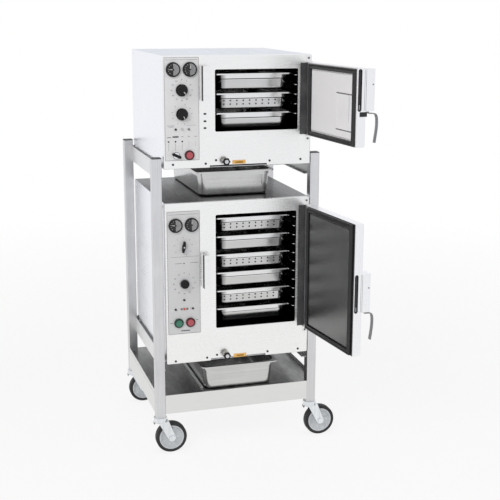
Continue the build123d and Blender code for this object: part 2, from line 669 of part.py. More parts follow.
def bar_knob(name, place, disc, bar_length, bar_width, bar_depth, turn):
    """A selector: a low disc with a straight bar across it, turned clockwise from upright."""
    foot = FACE_Y - GAP
    with BuildPart() as knob:
        with BuildSketch(facing_front(*place, foot)):
            Circle(disc)
        extrude(amount=DISC_DEPTH)
        with BuildSketch(facing_front(*place, foot - DISC_DEPTH)):
            SlotOverall(bar_length, bar_width, rotation=90 - turn)
        extrude(amount=bar_depth)
        fillet(knob.faces().sort_by(Axis.Y)[0].edges(), KNOB_EDGE)
        with BuildSketch(facing_front(*place, foot)):
            Circle(SHAFT_RADIUS)
        extrude(amount=-(BLOCK_DEPTH / 2 + SHEET))
    save(knob, name)


bar_knob(
    "upper_selector", UPPER_SELECTOR, disc=13.5, bar_length=38.0, bar_width=11.0, bar_depth=10.0, turn=115
)
bar_knob(
    "lower_power_knob", LOWER_POWER, disc=17.0, bar_length=50.0, bar_width=16.0, bar_depth=15.0, turn=10
)

# Fittings: front drain valves with a riser to the cavity floor, rear drain outlets and cable glands
RISER_Y = FRONT_Y + RISER_FROM_FRONT
VALVE_FACE = FRONT_Y - VALVE_OUT
with BuildPart() as fittings:
    for (x, z), (bottom, top, opening) in zip(DRAIN_PLACES, UNITS.values()):
        with BuildSketch(facing_front(x, z, VALVE_FACE)):
            Circle(VALVE_RADIUS)
        extrude(amount=-(RISER_Y + VALVE_RADIUS - VALVE_FACE))
        with BuildSketch(facing_front(x, z, VALVE_FACE)):
            Circle(PIN_RADIUS + RUNNING_FIT)
        extrude(amount=-VALVE_OUT, mode=Mode.SUBTRACT)
        with BuildSketch(Plane(origin=(x, RISER_Y, z))):
            Circle(PIPE_RADIUS)
        extrude(amount=opening[0] - LINER_DROP - SHEET - z)
        port_z = bottom + REAR_PORT_RISE
        with BuildSketch(facing_front(OUTLET_X, port_z, BACK_Y + OUTLET_OUT)):
            Circle(OUTLET_RADIUS)
            Circle(OUTLET_BORE, mode=Mode.SUBTRACT)
        extrude(amount=2 * OUTLET_OUT)
        with BuildSketch(facing_front(OUTLET_X, port_z, BACK_Y - SHEET)):
            Circle(OUTLET_FLANGE[0])
            Circle(OUTLET_BORE, mode=Mode.SUBTRACT)
        extrude(amount=OUTLET_FLANGE[1])
        with BuildSketch(facing_front(GLAND_X, port_z, BACK_Y + GLAND_OUT)):
            Circle(GLAND_RADIUS)
            Circle(GLAND_BORE, mode=Mode.SUBTRACT)
        extrude(amount=GLAND_LENGTH)
        for nut_x, radius, bore, height in (
            (OUTLET_X, OUTLET_RADIUS, OUTLET_BORE, OUTLET_NUT),
            (GLAND_X, GLAND_RADIUS, GLAND_BORE, GLAND_NUT),
        ):
            with BuildSketch(facing_front(nut_x, port_z, BACK_Y)):
                RegularPolygon(radius + NUT_LEDGE, 6)
                Circle(bore, mode=Mode.SUBTRACT)
            extrude(amount=-height)
save(fittings, "fittings")

for unit, place in zip(UNITS, DRAIN_PLACES):
    with BuildPart() as drain_knob:
        with BuildSketch(facing_front(*place, VALVE_FACE - GAP)):
            Circle(DRAIN_KNOB_RADIUS - 2)
            with PolarLocations(DRAIN_KNOB_RADIUS - LOBE_RADIUS, LOBES):
                Circle(LOBE_RADIUS)
        extrude(amount=DRAIN_KNOB_DEPTH)
        fillet(drain_knob.faces().sort_by(Axis.Y)[0].edges(), DRAIN_KNOB_EDGE)
        with BuildSketch(facing_front(*place, VALVE_FACE - GAP - DRAIN_KNOB_DEPTH)):
            Circle(DRAIN_BOSS[0])
        extrude(amount=DRAIN_BOSS[1])
        with BuildSketch(facing_front(*place, VALVE_FACE - GAP)):
            Circle(PIN_RADIUS)
        extrude(amount=-(VALVE_OUT - 4))
    save(drain_knob, f"{unit}_drain_knob")

# Heater plates: cast plates held under the cavity floors
with BuildPart() as heater_plates:
    for bottom, top, opening in UNITS.values():
        x_half, length, thick = HEATER[0] / 2, HEATER[1], HEATER[2]
        z1 = opening[0] - LINER_DROP - SHEET
        heater_y = (FRONT_Y + HEATER_FROM_FRONT, FRONT_Y + HEATER_FROM_FRONT + length)
        block(OPENING_CENTRE_X - x_half, OPENING_CENTRE_X + x_half, *heater_y, z1 - thick, z1)
save(heater_plates, "heater_plates")

# Fan motors: on the outer wall of each plenum, with the bearing bore of the fan's shaft
MOTOR_FACE = PLENUM_X[0] - SHEET
with BuildPart() as fan_motors:
    for bottom, top, opening in UNITS.values():
        with BuildSketch(facing_right(MOTOR_FACE, PLENUM_Y, sum(opening) / 2)):
            Circle(MOTOR_RADIUS)
            Circle(FAN_SHAFT + RUNNING_FIT, mode=Mode.SUBTRACT)
        extrude(amount=-MOTOR_LENGTH)
save(fan_motors, "fan_motors")

for unit, (bottom, top, opening) in UNITS.items():
    wheel_back = PLENUM_X[0] + FAN_FROM_WALL
    with BuildPart() as fan_wheel:
        with BuildSketch(facing_right(wheel_back, PLENUM_Y, sum(opening) / 2)):
            Circle(FAN_RADIUS)
        extrude(amount=FAN_BACKPLATE)
        with BuildSketch(facing_right(wheel_back, PLENUM_Y, sum(opening) / 2)):
            Circle(FAN_HUB)
            with PolarLocations(FAN_RADIUS - FAN_BLADE[0] / 2, FAN_BLADES):
                Rectangle(*FAN_BLADE, rotation=FAN_BLADE_TURN)
        extrude(amount=FAN_WIDTH)
        with BuildSketch(facing_right(wheel_back, PLENUM_Y, sum(opening) / 2)):
            Circle(FAN_SHAFT)
        extrude(amount=-(FAN_FROM_WALL + SHEET + 0.8 * MOTOR_LENGTH))
    save(fan_wheel, f"{unit}_fan_wheel")


def steam_pan(name, centre_x, front_y, rim_z, depth, holes=False):
    """A pressed steam pan: flat rim with a turned-down lip, upright collar, step and drafted bowl."""
    rim = Plane(origin=(centre_x, front_y + PAN_LENGTH / 2, rim_z))
    collar = (PAN_WIDTH - 2 * PAN_RIM, PAN_LENGTH - 2 * PAN_RIM)
    bowl = tuple(size - 2 * PAN_STEP for size in collar)
    base = tuple(size - 2 * PAN_DRAFT for size in bowl)
    corner = PAN_CORNER
    floor_corner = corner - PAN_STEP - PAN_DRAFT

    def body(inset):
        """The collar and the bowl, drawn in by the sheet's thickness for the inside."""
        with BuildPart() as form:
            with BuildSketch(rim):
                RectangleRounded(collar[0] - 2 * inset, collar[1] - 2 * inset, corner - inset)
            extrude(amount=-(PAN_COLLAR - inset))
            with BuildSketch(rim.offset(-(PAN_COLLAR - inset))):
                RectangleRounded(bowl[0] - 2 * inset, bowl[1] - 2 * inset, corner - PAN_STEP - inset)
            with BuildSketch(rim.offset(-(depth - inset))):
                RectangleRounded(base[0] - 2 * inset, base[1] - 2 * inset, floor_corner - inset)
            loft()
            fillet(form.faces().sort_by(Axis.Z)[0].edges(), PAN_FLOOR_FILLET - inset)
        return form.part

    outside, inside = body(0), body(PAN_SHEET)
    with BuildPart() as pan:
        with BuildSketch(rim):
            RectangleRounded(PAN_WIDTH, PAN_LENGTH, corner / 2)
        extrude(amount=-PAN_LIP)
        with BuildSketch(rim.offset(-PAN_SHEET)):
            RectangleRounded(PAN_WIDTH - 2 * PAN_SHEET, PAN_LENGTH - 2 * PAN_SHEET, corner / 2 - PAN_SHEET)
        extrude(amount=-PAN_LIP, mode=Mode.SUBTRACT)
        add(outside)
        add(inside, mode=Mode.SUBTRACT)
        if holes:
            row_z = rim_z - (PAN_COLLAR + depth - PAN_FLOOR_FILLET) / 2
            with BuildSketch(facing_front(centre_x, row_z, front_y)):
                with GridLocations(HOLE_PITCH, HOLE_ROW, 10, 2):
                    Circle(HOLE_RADIUS)
            extrude(amount=-PAN_LENGTH, mode=Mode.SUBTRACT)
            with BuildSketch(facing_right(centre_x - PAN_WIDTH / 2, rim.origin.Y, row_z)):
                with GridLocations(1.5 * HOLE_PITCH, HOLE_ROW, 11, 2):
                    Circle(HOLE_RADIUS)
            extrude(amount=PAN_WIDTH, mode=Mode.SUBTRACT)
            with BuildSketch(rim.offset(-depth)):
                with GridLocations(1.5 * HOLE_PITCH, 1.5 * HOLE_PITCH, 6, 11):
                    Circle(HOLE_RADIUS)
            extrude(amount=2 * PAN_SHEET, mode=Mode.SUBTRACT)
    save(pan, name)


PERFORATED = ("upper_pan_2", "lower_pan_1", "lower_pan_3", "lower_pan_5")
for unit, rims in FOOD_RIMS.items():
    for number, rim_z in enumerate(rims, start=1):
        name = f"{unit}_pan_{number}"
        steam_pan(
            name, OPENING_CENTRE_X, FRONT_Y + PAN_FRONT, rim_z, FOOD_PAN_DEPTH, name in PERFORATED
        )
for name, centre_x, front_y, floor in (
    ("upper_drip_pan", UPPER_DRIP_X, FRONT_Y + UPPER_DRIP_FRONT, LOWER_TOP),
    ("lower_drip_pan", LOWER_DRIP_X, FRONT_Y + LOWER_DRIP_FRONT, SHELF_TOP),
):
    steam_pan(name, centre_x, front_y, floor + GAP + DRIP_PAN_DEPTH, DRIP_PAN_DEPTH)

# Door hardware: a channel-shaped strike and two hinge brackets with pins on each front
HINGE_Y = FRONT_Y - HINGE_OUT
HINGE_HALF = DOOR_HINGE_EDGE
with BuildPart() as door_hardware:
    for strike, door, unit in (
        (UPPER_STRIKE, UPPER_DOOR, UNITS["upper"]), (LOWER_STRIKE, LOWER_DOOR, UNITS["lower"])
    ):
        x0, x1 = STRIKE_X
        lip = STRIKE_SHEET
        block(x0, x1, FRONT_Y - STRIKE_OUT, FRONT_Y, *strike)
        block(x0 + lip, x1, FRONT_Y - STRIKE_OUT + lip, FRONT_Y - lip, *strike, Mode.SUBTRACT)
        sides = (HINGE_X - HINGE_HALF, HINGE_X + HINGE_HALF)
        for edge, out in ((door[1], 1), (door[0], -1)):
            ear = sorted((edge + out * GAP, edge + out * (GAP + EAR_THICK)))
            plate = sorted((edge + out * GAP, edge + out * HINGE_PLATE[0]))
            pin = sorted((edge - out * (PIN_DEPTH - 2), edge + out * (GAP + EAR_THICK)))
            block(*sides, HINGE_Y - HINGE_HALF, FRONT_Y, *ear)
            block(*sides, FRONT_Y - HINGE_PLATE[1], FRONT_Y, *plate)
            with Locations((HINGE_X, HINGE_Y, sum(pin) / 2)):
                Cylinder(PIN_RADIUS, pin[1] - pin[0])
save(door_hardware, "door_hardware")


def make_door(unit, door, latch, angle):
    """The six pieces of one door, in a frame on its hinge: x to the free edge, y outward, z up."""
    bottom, top = door
    hang = Plane(
        origin=(HINGE_X, HINGE_Y, 0), x_dir=(-cos(radians(angle)), -sin(radians(angle)), 0), z_dir=(0, 0, 1)
    )
    outer = DOOR_INNER + DOOR_THICK
    middle = (bottom + top) / 2
    latch_x = (DOOR_REACH - LATCH_WIDTH - 2, DOOR_REACH - 2)
    latch_middle = sum(latch) / 2
    pivot = (outer + LATCH_DEPTH / 2, latch[0] + LEVER_PIVOT_RISE)
    bolt_y = (DOOR_INNER + BOLT_INSET, DOOR_INNER + BOLT_INSET + BOLT_THICK)
    boss_inset = GASKET_WIDTH + 2

    def flank(x):
        """A plane at one place along the door's width, with its own x outward and its own y up."""
        spot = hang.from_local_coords(Vector(x, 0, 0))
        return Plane(origin=spot, x_dir=hang.y_dir, z_dir=hang.x_dir)

    # Outer shell: a folded tray with a solid hinge stile, bored for the pins and slotted for the bolt
    with BuildPart(hang) as shell:
        block(-DOOR_HINGE_EDGE, DOOR_REACH, DOOR_INNER, outer, bottom, top)
        upright = shell.edges().filter_by(Axis.Z)
        fillet(upright.sort_by_distance(hang.origin)[:2], STILE_CORNER)
        block(HINGE_STILE, DOOR_REACH - DOOR_SHEET, DOOR_INNER, outer - DOOR_SHEET,
              bottom + DOOR_SHEET, top - DOOR_SHEET, Mode.SUBTRACT)
        for edge, out in ((top, 1), (bottom, -1)):
            with Locations((0, 0, edge - out * PIN_DEPTH / 2)):
                Cylinder(PIN_RADIUS + RUNNING_FIT, PIN_DEPTH, mode=Mode.SUBTRACT)
        with BuildSketch(flank(DOOR_REACH)):
            with Locations((sum(bolt_y) / 2, latch_middle)):
                SlotOverall(latch[1] - latch[0], BOLT_THICK + 2 * GAP, rotation=90)
        extrude(amount=-DOOR_SHEET, mode=Mode.SUBTRACT)
    save(shell, f"{unit}_door_shell")

    # Inner panel: closes the tray and stands proud inside the gasket
    with BuildPart(hang) as liner:
        block(GASKET_NEAR - 8, DOOR_REACH - 1, DOOR_INNER - DOOR_SHEET, DOOR_INNER, bottom + 1, top - 1)
        near, far = GASKET_NEAR + boss_inset, GASKET_FAR - boss_inset
        low, high = bottom + GASKET_INSET + boss_inset, top - GASKET_INSET - boss_inset
        block(near, far, DOOR_INNER - DOOR_SHEET - LINER_BOSS, DOOR_INNER, low, high)
    save(liner, f"{unit}_door_liner")

    # Gasket: one moulded ring that presses on the front around the opening
    with BuildPart(hang) as gasket:
        sill = DOOR_INNER - DOOR_SHEET
        face = -HINGE_OUT + GAP
        low, high = bottom + GASKET_INSET, top - GASKET_INSET
        block(GASKET_NEAR, GASKET_FAR, face, sill, low, high)
        block(GASKET_NEAR + GASKET_WIDTH, GASKET_FAR - GASKET_WIDTH, face, sill,
              low + GASKET_WIDTH, high - GASKET_WIDTH, Mode.SUBTRACT)
    save(gasket, f"{unit}_door_gasket")

    # Latch housing: a box on the outer face, open below, with the pin of the lever
    with BuildPart(hang) as housing:
        block(*latch_x, outer, outer + LATCH_DEPTH, *latch)
        block(latch_x[0] + LATCH_WALL, latch_x[1] - LATCH_WALL, outer + LATCH_WALL,
              outer + LATCH_DEPTH - LATCH_WALL, latch[0], latch[1] - LATCH_WALL, Mode.SUBTRACT)
        with BuildSketch(flank(latch_x[0])):
            with Locations(pivot):
                Circle(PIN_RADIUS)
        extrude(amount=LATCH_WIDTH)
    save(housing, f"{unit}_latch_housing")

    # Lever: a flat bar with an eye on the pin, bent outward under the housing and then straight down
    with BuildPart() as lever:
        lever_x = sum(latch_x) / 2 - LEVER_WIDTH / 2
        shoulder = outer + LATCH_DEPTH + LEVER_OUT
        under = latch[0] - LEVER_CLEAR
        with BuildSketch(flank(lever_x)):
            with BuildLine():
                FilletPolyline(
                    pivot, (pivot[0] + 2, under), (shoulder, under - 2),
                    (shoulder - LEVER_LEAN, latch[0] - LEVER_DROP), radius=LEVER_BENDS
                )
            trace(line_width=LEVER_THICK)
            with Locations(pivot):
                Circle(PIN_RADIUS + 4)
                Circle(PIN_RADIUS + RUNNING_FIT, mode=Mode.SUBTRACT)
        extrude(amount=LEVER_WIDTH)
    save(lever, f"{unit}_latch_lever")

    # Bolt: an upright bar in the slot of the free edge
    with BuildPart() as bolt:
        with BuildSketch(flank(DOOR_REACH + GAP)):
            with Locations((sum(bolt_y) / 2, latch_middle)):
                SlotOverall(latch[1] - latch[0] - 2 * GAP, BOLT_THICK, rotation=90)
        extrude(amount=-BOLT_LENGTH)
    save(bolt, f"{unit}_latch_bolt")


make_door("upper", UPPER_DOOR, UPPER_LATCH, UPPER_DOOR_ANGLE)
make_door("lower", LOWER_DOOR, LOWER_LATCH, LOWER_DOOR_ANGLE)
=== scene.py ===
from math import atan2, cos, pi, radians, sin

import bmesh
import bpy
from mathutils import Matrix, Vector


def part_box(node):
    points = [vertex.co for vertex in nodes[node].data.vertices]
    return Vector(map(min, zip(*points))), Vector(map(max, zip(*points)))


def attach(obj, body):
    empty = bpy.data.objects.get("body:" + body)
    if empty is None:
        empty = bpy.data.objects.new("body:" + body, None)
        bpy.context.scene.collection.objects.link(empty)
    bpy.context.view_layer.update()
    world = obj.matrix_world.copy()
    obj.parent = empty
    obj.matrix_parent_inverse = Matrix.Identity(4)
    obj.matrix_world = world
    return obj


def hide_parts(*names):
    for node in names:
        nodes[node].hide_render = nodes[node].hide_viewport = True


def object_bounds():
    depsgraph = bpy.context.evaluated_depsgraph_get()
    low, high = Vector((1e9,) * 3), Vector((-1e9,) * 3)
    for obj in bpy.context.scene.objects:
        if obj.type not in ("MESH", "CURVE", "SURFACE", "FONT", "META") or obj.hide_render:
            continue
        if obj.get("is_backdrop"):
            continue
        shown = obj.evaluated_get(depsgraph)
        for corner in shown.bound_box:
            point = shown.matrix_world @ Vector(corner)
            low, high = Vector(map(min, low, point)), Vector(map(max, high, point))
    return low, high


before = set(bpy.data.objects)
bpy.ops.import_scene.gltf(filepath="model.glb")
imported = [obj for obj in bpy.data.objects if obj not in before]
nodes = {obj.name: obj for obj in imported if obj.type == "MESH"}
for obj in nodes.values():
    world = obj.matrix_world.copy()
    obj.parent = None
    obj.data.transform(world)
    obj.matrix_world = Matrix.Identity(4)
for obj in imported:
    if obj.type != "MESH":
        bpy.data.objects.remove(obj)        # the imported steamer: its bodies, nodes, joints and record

cad_low, cad_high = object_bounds()
MM = 0.001

# Studio: a pale floor that fades out, a large soft lamp at the upper left and a weaker one at the
# right. The metal mirrors a white surround that falls off to the right, and not the lamps themselves.


def linear(code):
    """An sRGB hex colour as the linear RGBA that shaders take."""
    parts = [int(code[i:i + 2], 16) / 255 for i in (1, 3, 5)]
    return (*(c / 12.92 if c <= 0.04045 else ((c + 0.055) / 1.055) ** 2.4 for c in parts), 1.0)


def add_node(tree, kind, inputs=(), **settings):
    """Adds a shader node, sets it up, and gives each input a value or another node's output."""
    node = tree.nodes.new("ShaderNode" + kind)
    for name, value in settings.items():
        setattr(node, name, value)
    for name, value in dict(inputs).items():
        if isinstance(value, bpy.types.NodeSocket):
            tree.links.new(value, node.inputs[name])
        else:
            node.inputs[name].default_value = value
    return node


def figure(tree, operation, *values):
    """The result of a math node."""
    return add_node(tree, "Math", dict(enumerate(values)), operation=operation).outputs[0]


def blend(tree, share, low, high):
    """The result of mixing two colours."""
    return add_node(tree, "Mix", {0: share, 6: low, 7: high}, data_type="RGBA").outputs[2]


scene = bpy.context.scene
scene.view_settings.view_transform = "Standard"
scene.world = bpy.data.worlds.new("studio")
scene.world.use_nodes = True
tree = scene.world.node_tree
tree.nodes.clear()
rays = add_node(tree, "LightPath")
aim = add_node(tree, "TexCoord")
aim_parts = add_node(tree, "SeparateXYZ", {"Vector": aim.outputs["Generated"]})
to_right = add_node(tree, "MapRange", {
    "Value": aim_parts.outputs["X"], "From Min": 0.62, "From Max": 0.97, "To Min": 0.0, "To Max": 1.0})
surround = blend(tree, to_right.outputs["Result"], linear("#fbfcff"), linear("#8b8c90"))
ambient = add_node(tree, "Background", {"Color": linear("#ffffff"), "Strength": 0.52})
mirrored = add_node(tree, "Background", {"Color": surround, "Strength": 1.0})
backdrop = add_node(tree, "Background", {"Color": linear("#ffffff"), "Strength": 1.0})
mirror_ray = figure(tree, "MAXIMUM", rays.outputs["Is Glossy Ray"], rays.outputs["Is Transmission Ray"])
for_metal = add_node(tree, "MixShader", {
    0: mirror_ray, 1: ambient.outputs[0], 2: mirrored.outputs[0]})
for_camera = add_node(tree, "MixShader", {
    0: rays.outputs["Is Camera Ray"], 1: for_metal.outputs[0], 2: backdrop.outputs[0]})
add_node(tree, "OutputWorld", {"Surface": for_camera.outputs[0]})

CAMERA_PLACE = Vector((-1.117875, -4.134008, 1.779421))
CAMERA_YAW, CAMERA_PITCH, CAMERA_ROLL = 0.296793, 0.234083, 0.002853
LENS = 74.246
bpy.ops.object.camera_add()
camera = bpy.context.object
camera.data.lens = LENS
camera.matrix_world = (
    Matrix.Translation(CAMERA_PLACE) @ Matrix.Rotation(-CAMERA_YAW, 4, "Z")
    @ Matrix.Rotation(pi / 2 - CAMERA_PITCH, 4, "X") @ Matrix.Rotation(CAMERA_ROLL, 4, "Z"))
scene.camera = camera

AIM_POINT = Vector((0.0, 0.0, 0.8))
for place, size, power in (((-2.4, -3.1, 3.3), 2.4, 62.0), ((3.2, -2.2, 1.9), 2.0, 20.0)):
    bpy.ops.object.light_add(type="AREA", location=place)
    lamp = bpy.context.object
    lamp.data.size = size
    lamp.data.energy = power
    lamp.rotation_euler = (AIM_POINT - lamp.location).to_track_quat("-Z", "Y").to_euler()
    lamp.visible_glossy = False

FLOOR_RADIUS, FLOOR_GLOW = 6.0, 0.82
bpy.ops.object.select_all(action="DESELECT")
bpy.ops.mesh.primitive_circle_add(vertices=96, radius=FLOOR_RADIUS, fill_type="NGON")
floor = bpy.context.object
floor.name = "studio_floor"
floor_paint = bpy.data.materials.new("studio_floor_paint")
floor_paint.use_nodes = True
tree = floor_paint.node_tree
tree.nodes.clear()
rays = add_node(tree, "LightPath")
place = add_node(tree, "TexCoord")
far = add_node(tree, "VectorMath", {0: place.outputs["Object"]}, operation="LENGTH")
fade = add_node(tree, "MapRange", {"Value": far.outputs["Value"], "From Min": 1.2, "From Max": 4.5})
matt = add_node(tree, "BsdfDiffuse", {"Color": linear("#ffffff")})
bright = add_node(tree, "Emission", {"Color": linear("#ffffff"), "Strength": 1.0})
shown = figure(tree, "MAXIMUM", rays.outputs["Is Camera Ray"], rays.outputs["Is Glossy Ray"])
glow = figure(tree, "MULTIPLY", shown, FLOOR_GLOW)
lit = add_node(tree, "MixShader", {0: glow, 1: matt.outputs[0], 2: bright.outputs[0]})
clear = add_node(tree, "BsdfTransparent")
faded = add_node(tree, "MixShader", {0: fade.outputs["Result"], 1: lit.outputs[0], 2: clear.outputs[0]})
add_node(tree, "OutputMaterial", {"Surface": faded.outputs[0]})
floor.data.materials.append(floor_paint)
floor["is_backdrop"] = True


# Posts: square stainless tube with a satin grain along the tube, closed by black moulded caps. The tube
# is duller and darker than the sheet of the units.
AXES = {"x": 0, "y": 1, "z": 2}


def new_material(name, roughness, metallic=0.0):
    """A material with one surface shader, and its place on the object as a starting node."""
    material = bpy.data.materials.new(name)
    material.use_nodes = True
    tree = material.node_tree
    surface = tree.nodes["Principled BSDF"]
    surface.inputs["Roughness"].default_value = roughness
    surface.inputs["Metallic"].default_value = metallic
    return material, tree, surface, add_node(tree, "TexCoord").outputs["Object"]


def brushed_steel(name, pale, deep, roughness, grain, spacing=2.4, bump=0.05):
    """Satin stainless steel: lines along the grain tint it, and broad smears change its gloss.

    Real grain is 0.2 mm apart. It is drawn at the given spacing in millimetres, so that it shows.
    """
    material, tree, surface, place = new_material(name, roughness, 1.0)
    scale = [1 / (spacing * MM)] * 3
    scale[AXES[grain]] /= 70
    stretched = add_node(tree, "Mapping", {"Vector": place, "Scale": scale})
    lines = add_node(tree, "TexNoise", {"Vector": stretched.outputs[0], "Scale": 1.0, "Detail": 3.0})
    smears = add_node(tree, "TexNoise", {"Vector": place, "Scale": 7.0, "Detail": 4.0, "Roughness": 0.6})
    both = figure(tree, "ADD", lines.outputs["Fac"], smears.outputs["Fac"])
    share = add_node(tree, "MapRange", {"Value": both, "From Min": 0.6, "From Max": 1.4})
    tint = blend(tree, share.outputs[0], linear(deep), linear(pale))
    gloss = add_node(tree, "MapRange", {
        "Value": both, "From Min": 0.7, "From Max": 1.3,
        "To Min": roughness - 0.04, "To Max": roughness + 0.04})
    ridges = add_node(tree, "Bump", {
        "Height": lines.outputs["Fac"], "Strength": bump, "Distance": 0.1 * MM})
    tree.links.new(tint, surface.inputs["Base Color"])
    tree.links.new(gloss.outputs[0], surface.inputs["Roughness"])
    tree.links.new(ridges.outputs[0], surface.inputs["Normal"])
    return material


def moulded(name, colour, worn, roughness, grit=1.2, bump=0.1):
    """Moulded plastic or rubber: a fine grit on the skin, and a paler tone in broad patches."""
    material, tree, surface, place = new_material(name, roughness)
    grains = add_node(tree, "TexNoise", {"Vector": place, "Scale": 1 / (grit * MM), "Detail": 2.0})
    patches = add_node(tree, "TexNoise", {"Vector": place, "Scale": 24.0, "Detail": 4.0})
    share = add_node(tree, "MapRange", {
        "Value": patches.outputs["Fac"], "From Min": 0.35, "From Max": 0.75})
    tint = blend(tree, share.outputs[0], linear(colour), linear(worn))
    gloss = add_node(tree, "MapRange", {
        "Value": grains.outputs["Fac"], "To Min": roughness - 0.08, "To Max": roughness + 0.08})
    skin = add_node(tree, "Bump", {
        "Height": grains.outputs["Fac"], "Strength": bump, "Distance": 0.1 * MM})
    tree.links.new(tint, surface.inputs["Base Color"])
    tree.links.new(gloss.outputs[0], surface.inputs["Roughness"])
    tree.links.new(skin.outputs[0], surface.inputs["Normal"])
    return material


def tune(material, setting, value):
    """Sets one constant of a finish."""
    material.node_tree.nodes["Principled BSDF"].inputs[setting].default_value = value


def dress(material, *names):
    """Gives solid nodes their finish."""
    for name in names:
        solid = nodes[name]
        solid.data.materials.clear()
        solid.data.materials.append(material)


tube_steel = brushed_steel("satin_tube_steel", "#dededf", "#c8c8c9", 0.34, "z")
dress(tube_steel, "posts")
cap_plastic = moulded("black_cap_polyethylene", "#1b1b1c", "#2c2c2d", 0.5)
dress(cap_plastic, "post_caps")

# Rails and shelf: folded sheet of the stand, welded between the posts. The rails and aprons are ground
# along their length, and the shelf floor is a mill-finish sheet with broad dark streaks of painted shade
# and reflection from the unit above.
SHELF_TOP = 248.2


def paint_shade_and_reflection_on_top(material, height, deep, pale):
    """Paints shade and reflection in broad streaks on the level sheet at one height, such as under a
    unit.
    """
    tree = material.node_tree
    colour = tree.nodes["Principled BSDF"].inputs["Base Color"]
    clean = colour.links[0].from_socket
    place = add_node(tree, "TexCoord").outputs["Object"]
    parts = add_node(tree, "SeparateXYZ", {"Vector": place})
    level = figure(tree, "COMPARE", parts.outputs["Z"], height * MM, 0.8 * MM)
    streaks = add_node(tree, "Mapping", {"Vector": place, "Scale": (16.0, 4.0, 1.0)})
    clouds = add_node(tree, "TexNoise", {
        "Vector": streaks.outputs[0], "Scale": 1.0, "Detail": 5.0, "Roughness": 0.65})
    share = add_node(tree, "MapRange", {
        "Value": clouds.outputs["Fac"], "From Min": 0.35, "From Max": 0.68})
    # The streaks are painted shade and reflection, not stains on the sheet.
    painted_shade_and_reflection = blend(tree, share.outputs[0], linear(deep), linear(pale))
    tree.links.new(blend(tree, level, clean, painted_shade_and_reflection), colour)


rail_steel = brushed_steel("ground_rail_steel", "#ebebea", "#e2e2e1", 0.36, "y", bump=0.0)
shelf_steel = brushed_steel(
    "mill_finish_shelf_steel", "#e3e3e1", "#dedfdc", 0.33, "x", spacing=2.0, bump=0.0)
# The shelf floor's top is painted with the shade and reflection of the lower unit's dark underside.
paint_shade_and_reflection_on_top(shelf_steel, SHELF_TOP, "#5c5c5b", "#989896")
dress(rail_steel, "stand_rails")
dress(shelf_steel, "bottom_shelf")

# Casters: a zinc-plated pressed fork with a ball race, a grey moulded wheel core with five pockets and
# a black rubber tyre, an axle bolt with hex nuts and a small black lock pedal beside the stem.


def deselect():
    """Goes to object mode, with nothing selected."""
    if bpy.context.mode != "OBJECT":
        bpy.ops.object.mode_set(mode="OBJECT")
    bpy.ops.object.select_all(action="DESELECT")


def start(kind, **settings):
    """Adds a primitive to shape, with nothing else selected, and fixes its scale in its mesh."""
    deselect()
    getattr(bpy.ops.mesh, f"primitive_{kind}_add")(**settings)
    bpy.ops.object.transform_apply(location=False, rotation=False, scale=True)
    return bpy.context.object


def block(wide, deep, high):
    """A block, from its sizes in millimetres."""
    return start("cube", size=1, scale=(wide * MM, deep * MM, high * MM))


def rod(sides, radius, depth):
    """An upright cylinder, from its sizes in millimetres."""
    return start("cylinder", vertices=sides, radius=radius * MM, depth=depth * MM)


def pick(piece, test):
    """Opens a piece with just those faces selected whose centre and normal pass the test."""
    bpy.ops.object.mode_set(mode="EDIT")
    bpy.ops.mesh.select_mode(type="FACE")
    bpy.ops.mesh.select_all(action="DESELECT")
    form = bmesh.from_edit_mesh(piece.data)
    for face in form.faces:
        if test(face.calc_center_median(), face.normal):
            face.select_set(True)
    bmesh.update_edit_mesh(piece.data)


def toward(x=0, y=0, z=0):
    """A test for the faces that look the given way."""
    return lambda centre, normal: normal.dot(Vector((x, y, z))) > 0.9


def along(x=0, y=0, z=0):
    """A test for the faces that look the given way or the opposite one."""
    return lambda centre, normal: abs(normal.dot(Vector((x, y, z)))) > 0.9


def close_up():
    """Goes back to object mode after shaping."""
    bpy.ops.object.mode_set(mode="OBJECT")


def press(piece, test, *insets):
    """Insets the faces that pass a test, once for each pair of margin and lift in millimetres."""
    pick(piece, test)
    for margin, lift in insets:
        bpy.ops.mesh.inset(thickness=margin * MM, depth=lift * MM)
    close_up()


def hollow_out(piece, test, rim):
    """Opens a piece through both faces that pass a test, and leaves a rim of the given width."""
    pick(piece, test)
    bpy.ops.mesh.inset(thickness=rim * MM)
    bpy.ops.mesh.delete(type="FACE")
    bpy.ops.mesh.select_mode(type="EDGE")
    bpy.ops.mesh.select_non_manifold()
    bpy.ops.mesh.bridge_edge_loops()
    close_up()


def hold(piece):
    """Makes a piece the only selected one."""
    deselect()
    piece.select_set(True)
    bpy.context.view_layer.objects.active = piece


def round_edges(piece, width, segments=2, angle=35):
    """Rounds the sharp edges of a piece by a bevel."""
    hold(piece)
    bevel = piece.modifiers.new("edges", "BEVEL")
    bevel.width = width
    bevel.segments = segments
    bevel.limit_method = "ANGLE"
    bevel.angle_limit = radians(angle)
    bpy.ops.object.modifier_apply(modifier=bevel.name)


def join(pieces):
    """Joins several shapes to one piece."""
    deselect()
    for piece in pieces:
        piece.select_set(True)
    bpy.context.view_layer.objects.active = pieces[0]
    if len(pieces) > 1:
        bpy.ops.object.join()
    return pieces[0]


def copies(master, turns):
    """Copies a master, each with its own mesh, to the given turned places, and joins the copies."""
    made = []
    for turn in turns:
        twin = master.copy()
        twin.data = master.data.copy()
        scene.collection.objects.link(twin)
        twin.matrix_world = turn @ master.matrix_world
        made.append(twin)
    bpy.context.view_layer.update()
    return join(made)


def fit(piece, name, material, body, angle=35):
    """Fixes a piece's place in its mesh, smooths it, and gives it its name, finish and body."""
    hold(piece)
    bpy.ops.object.transform_apply(location=True, rotation=True, scale=True)
    bpy.ops.object.shade_smooth_by_angle(angle=radians(angle))
    piece.name = piece.data.name = name
    if material:
        piece.data.materials.clear()
        piece.data.materials.append(material)
    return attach(piece, body)


def at(x, y, z, turn=Matrix.Identity(4)):
    """A turned place, from millimetres."""
    return Matrix.Translation(Vector((x, y, z)) * MM) @ turn


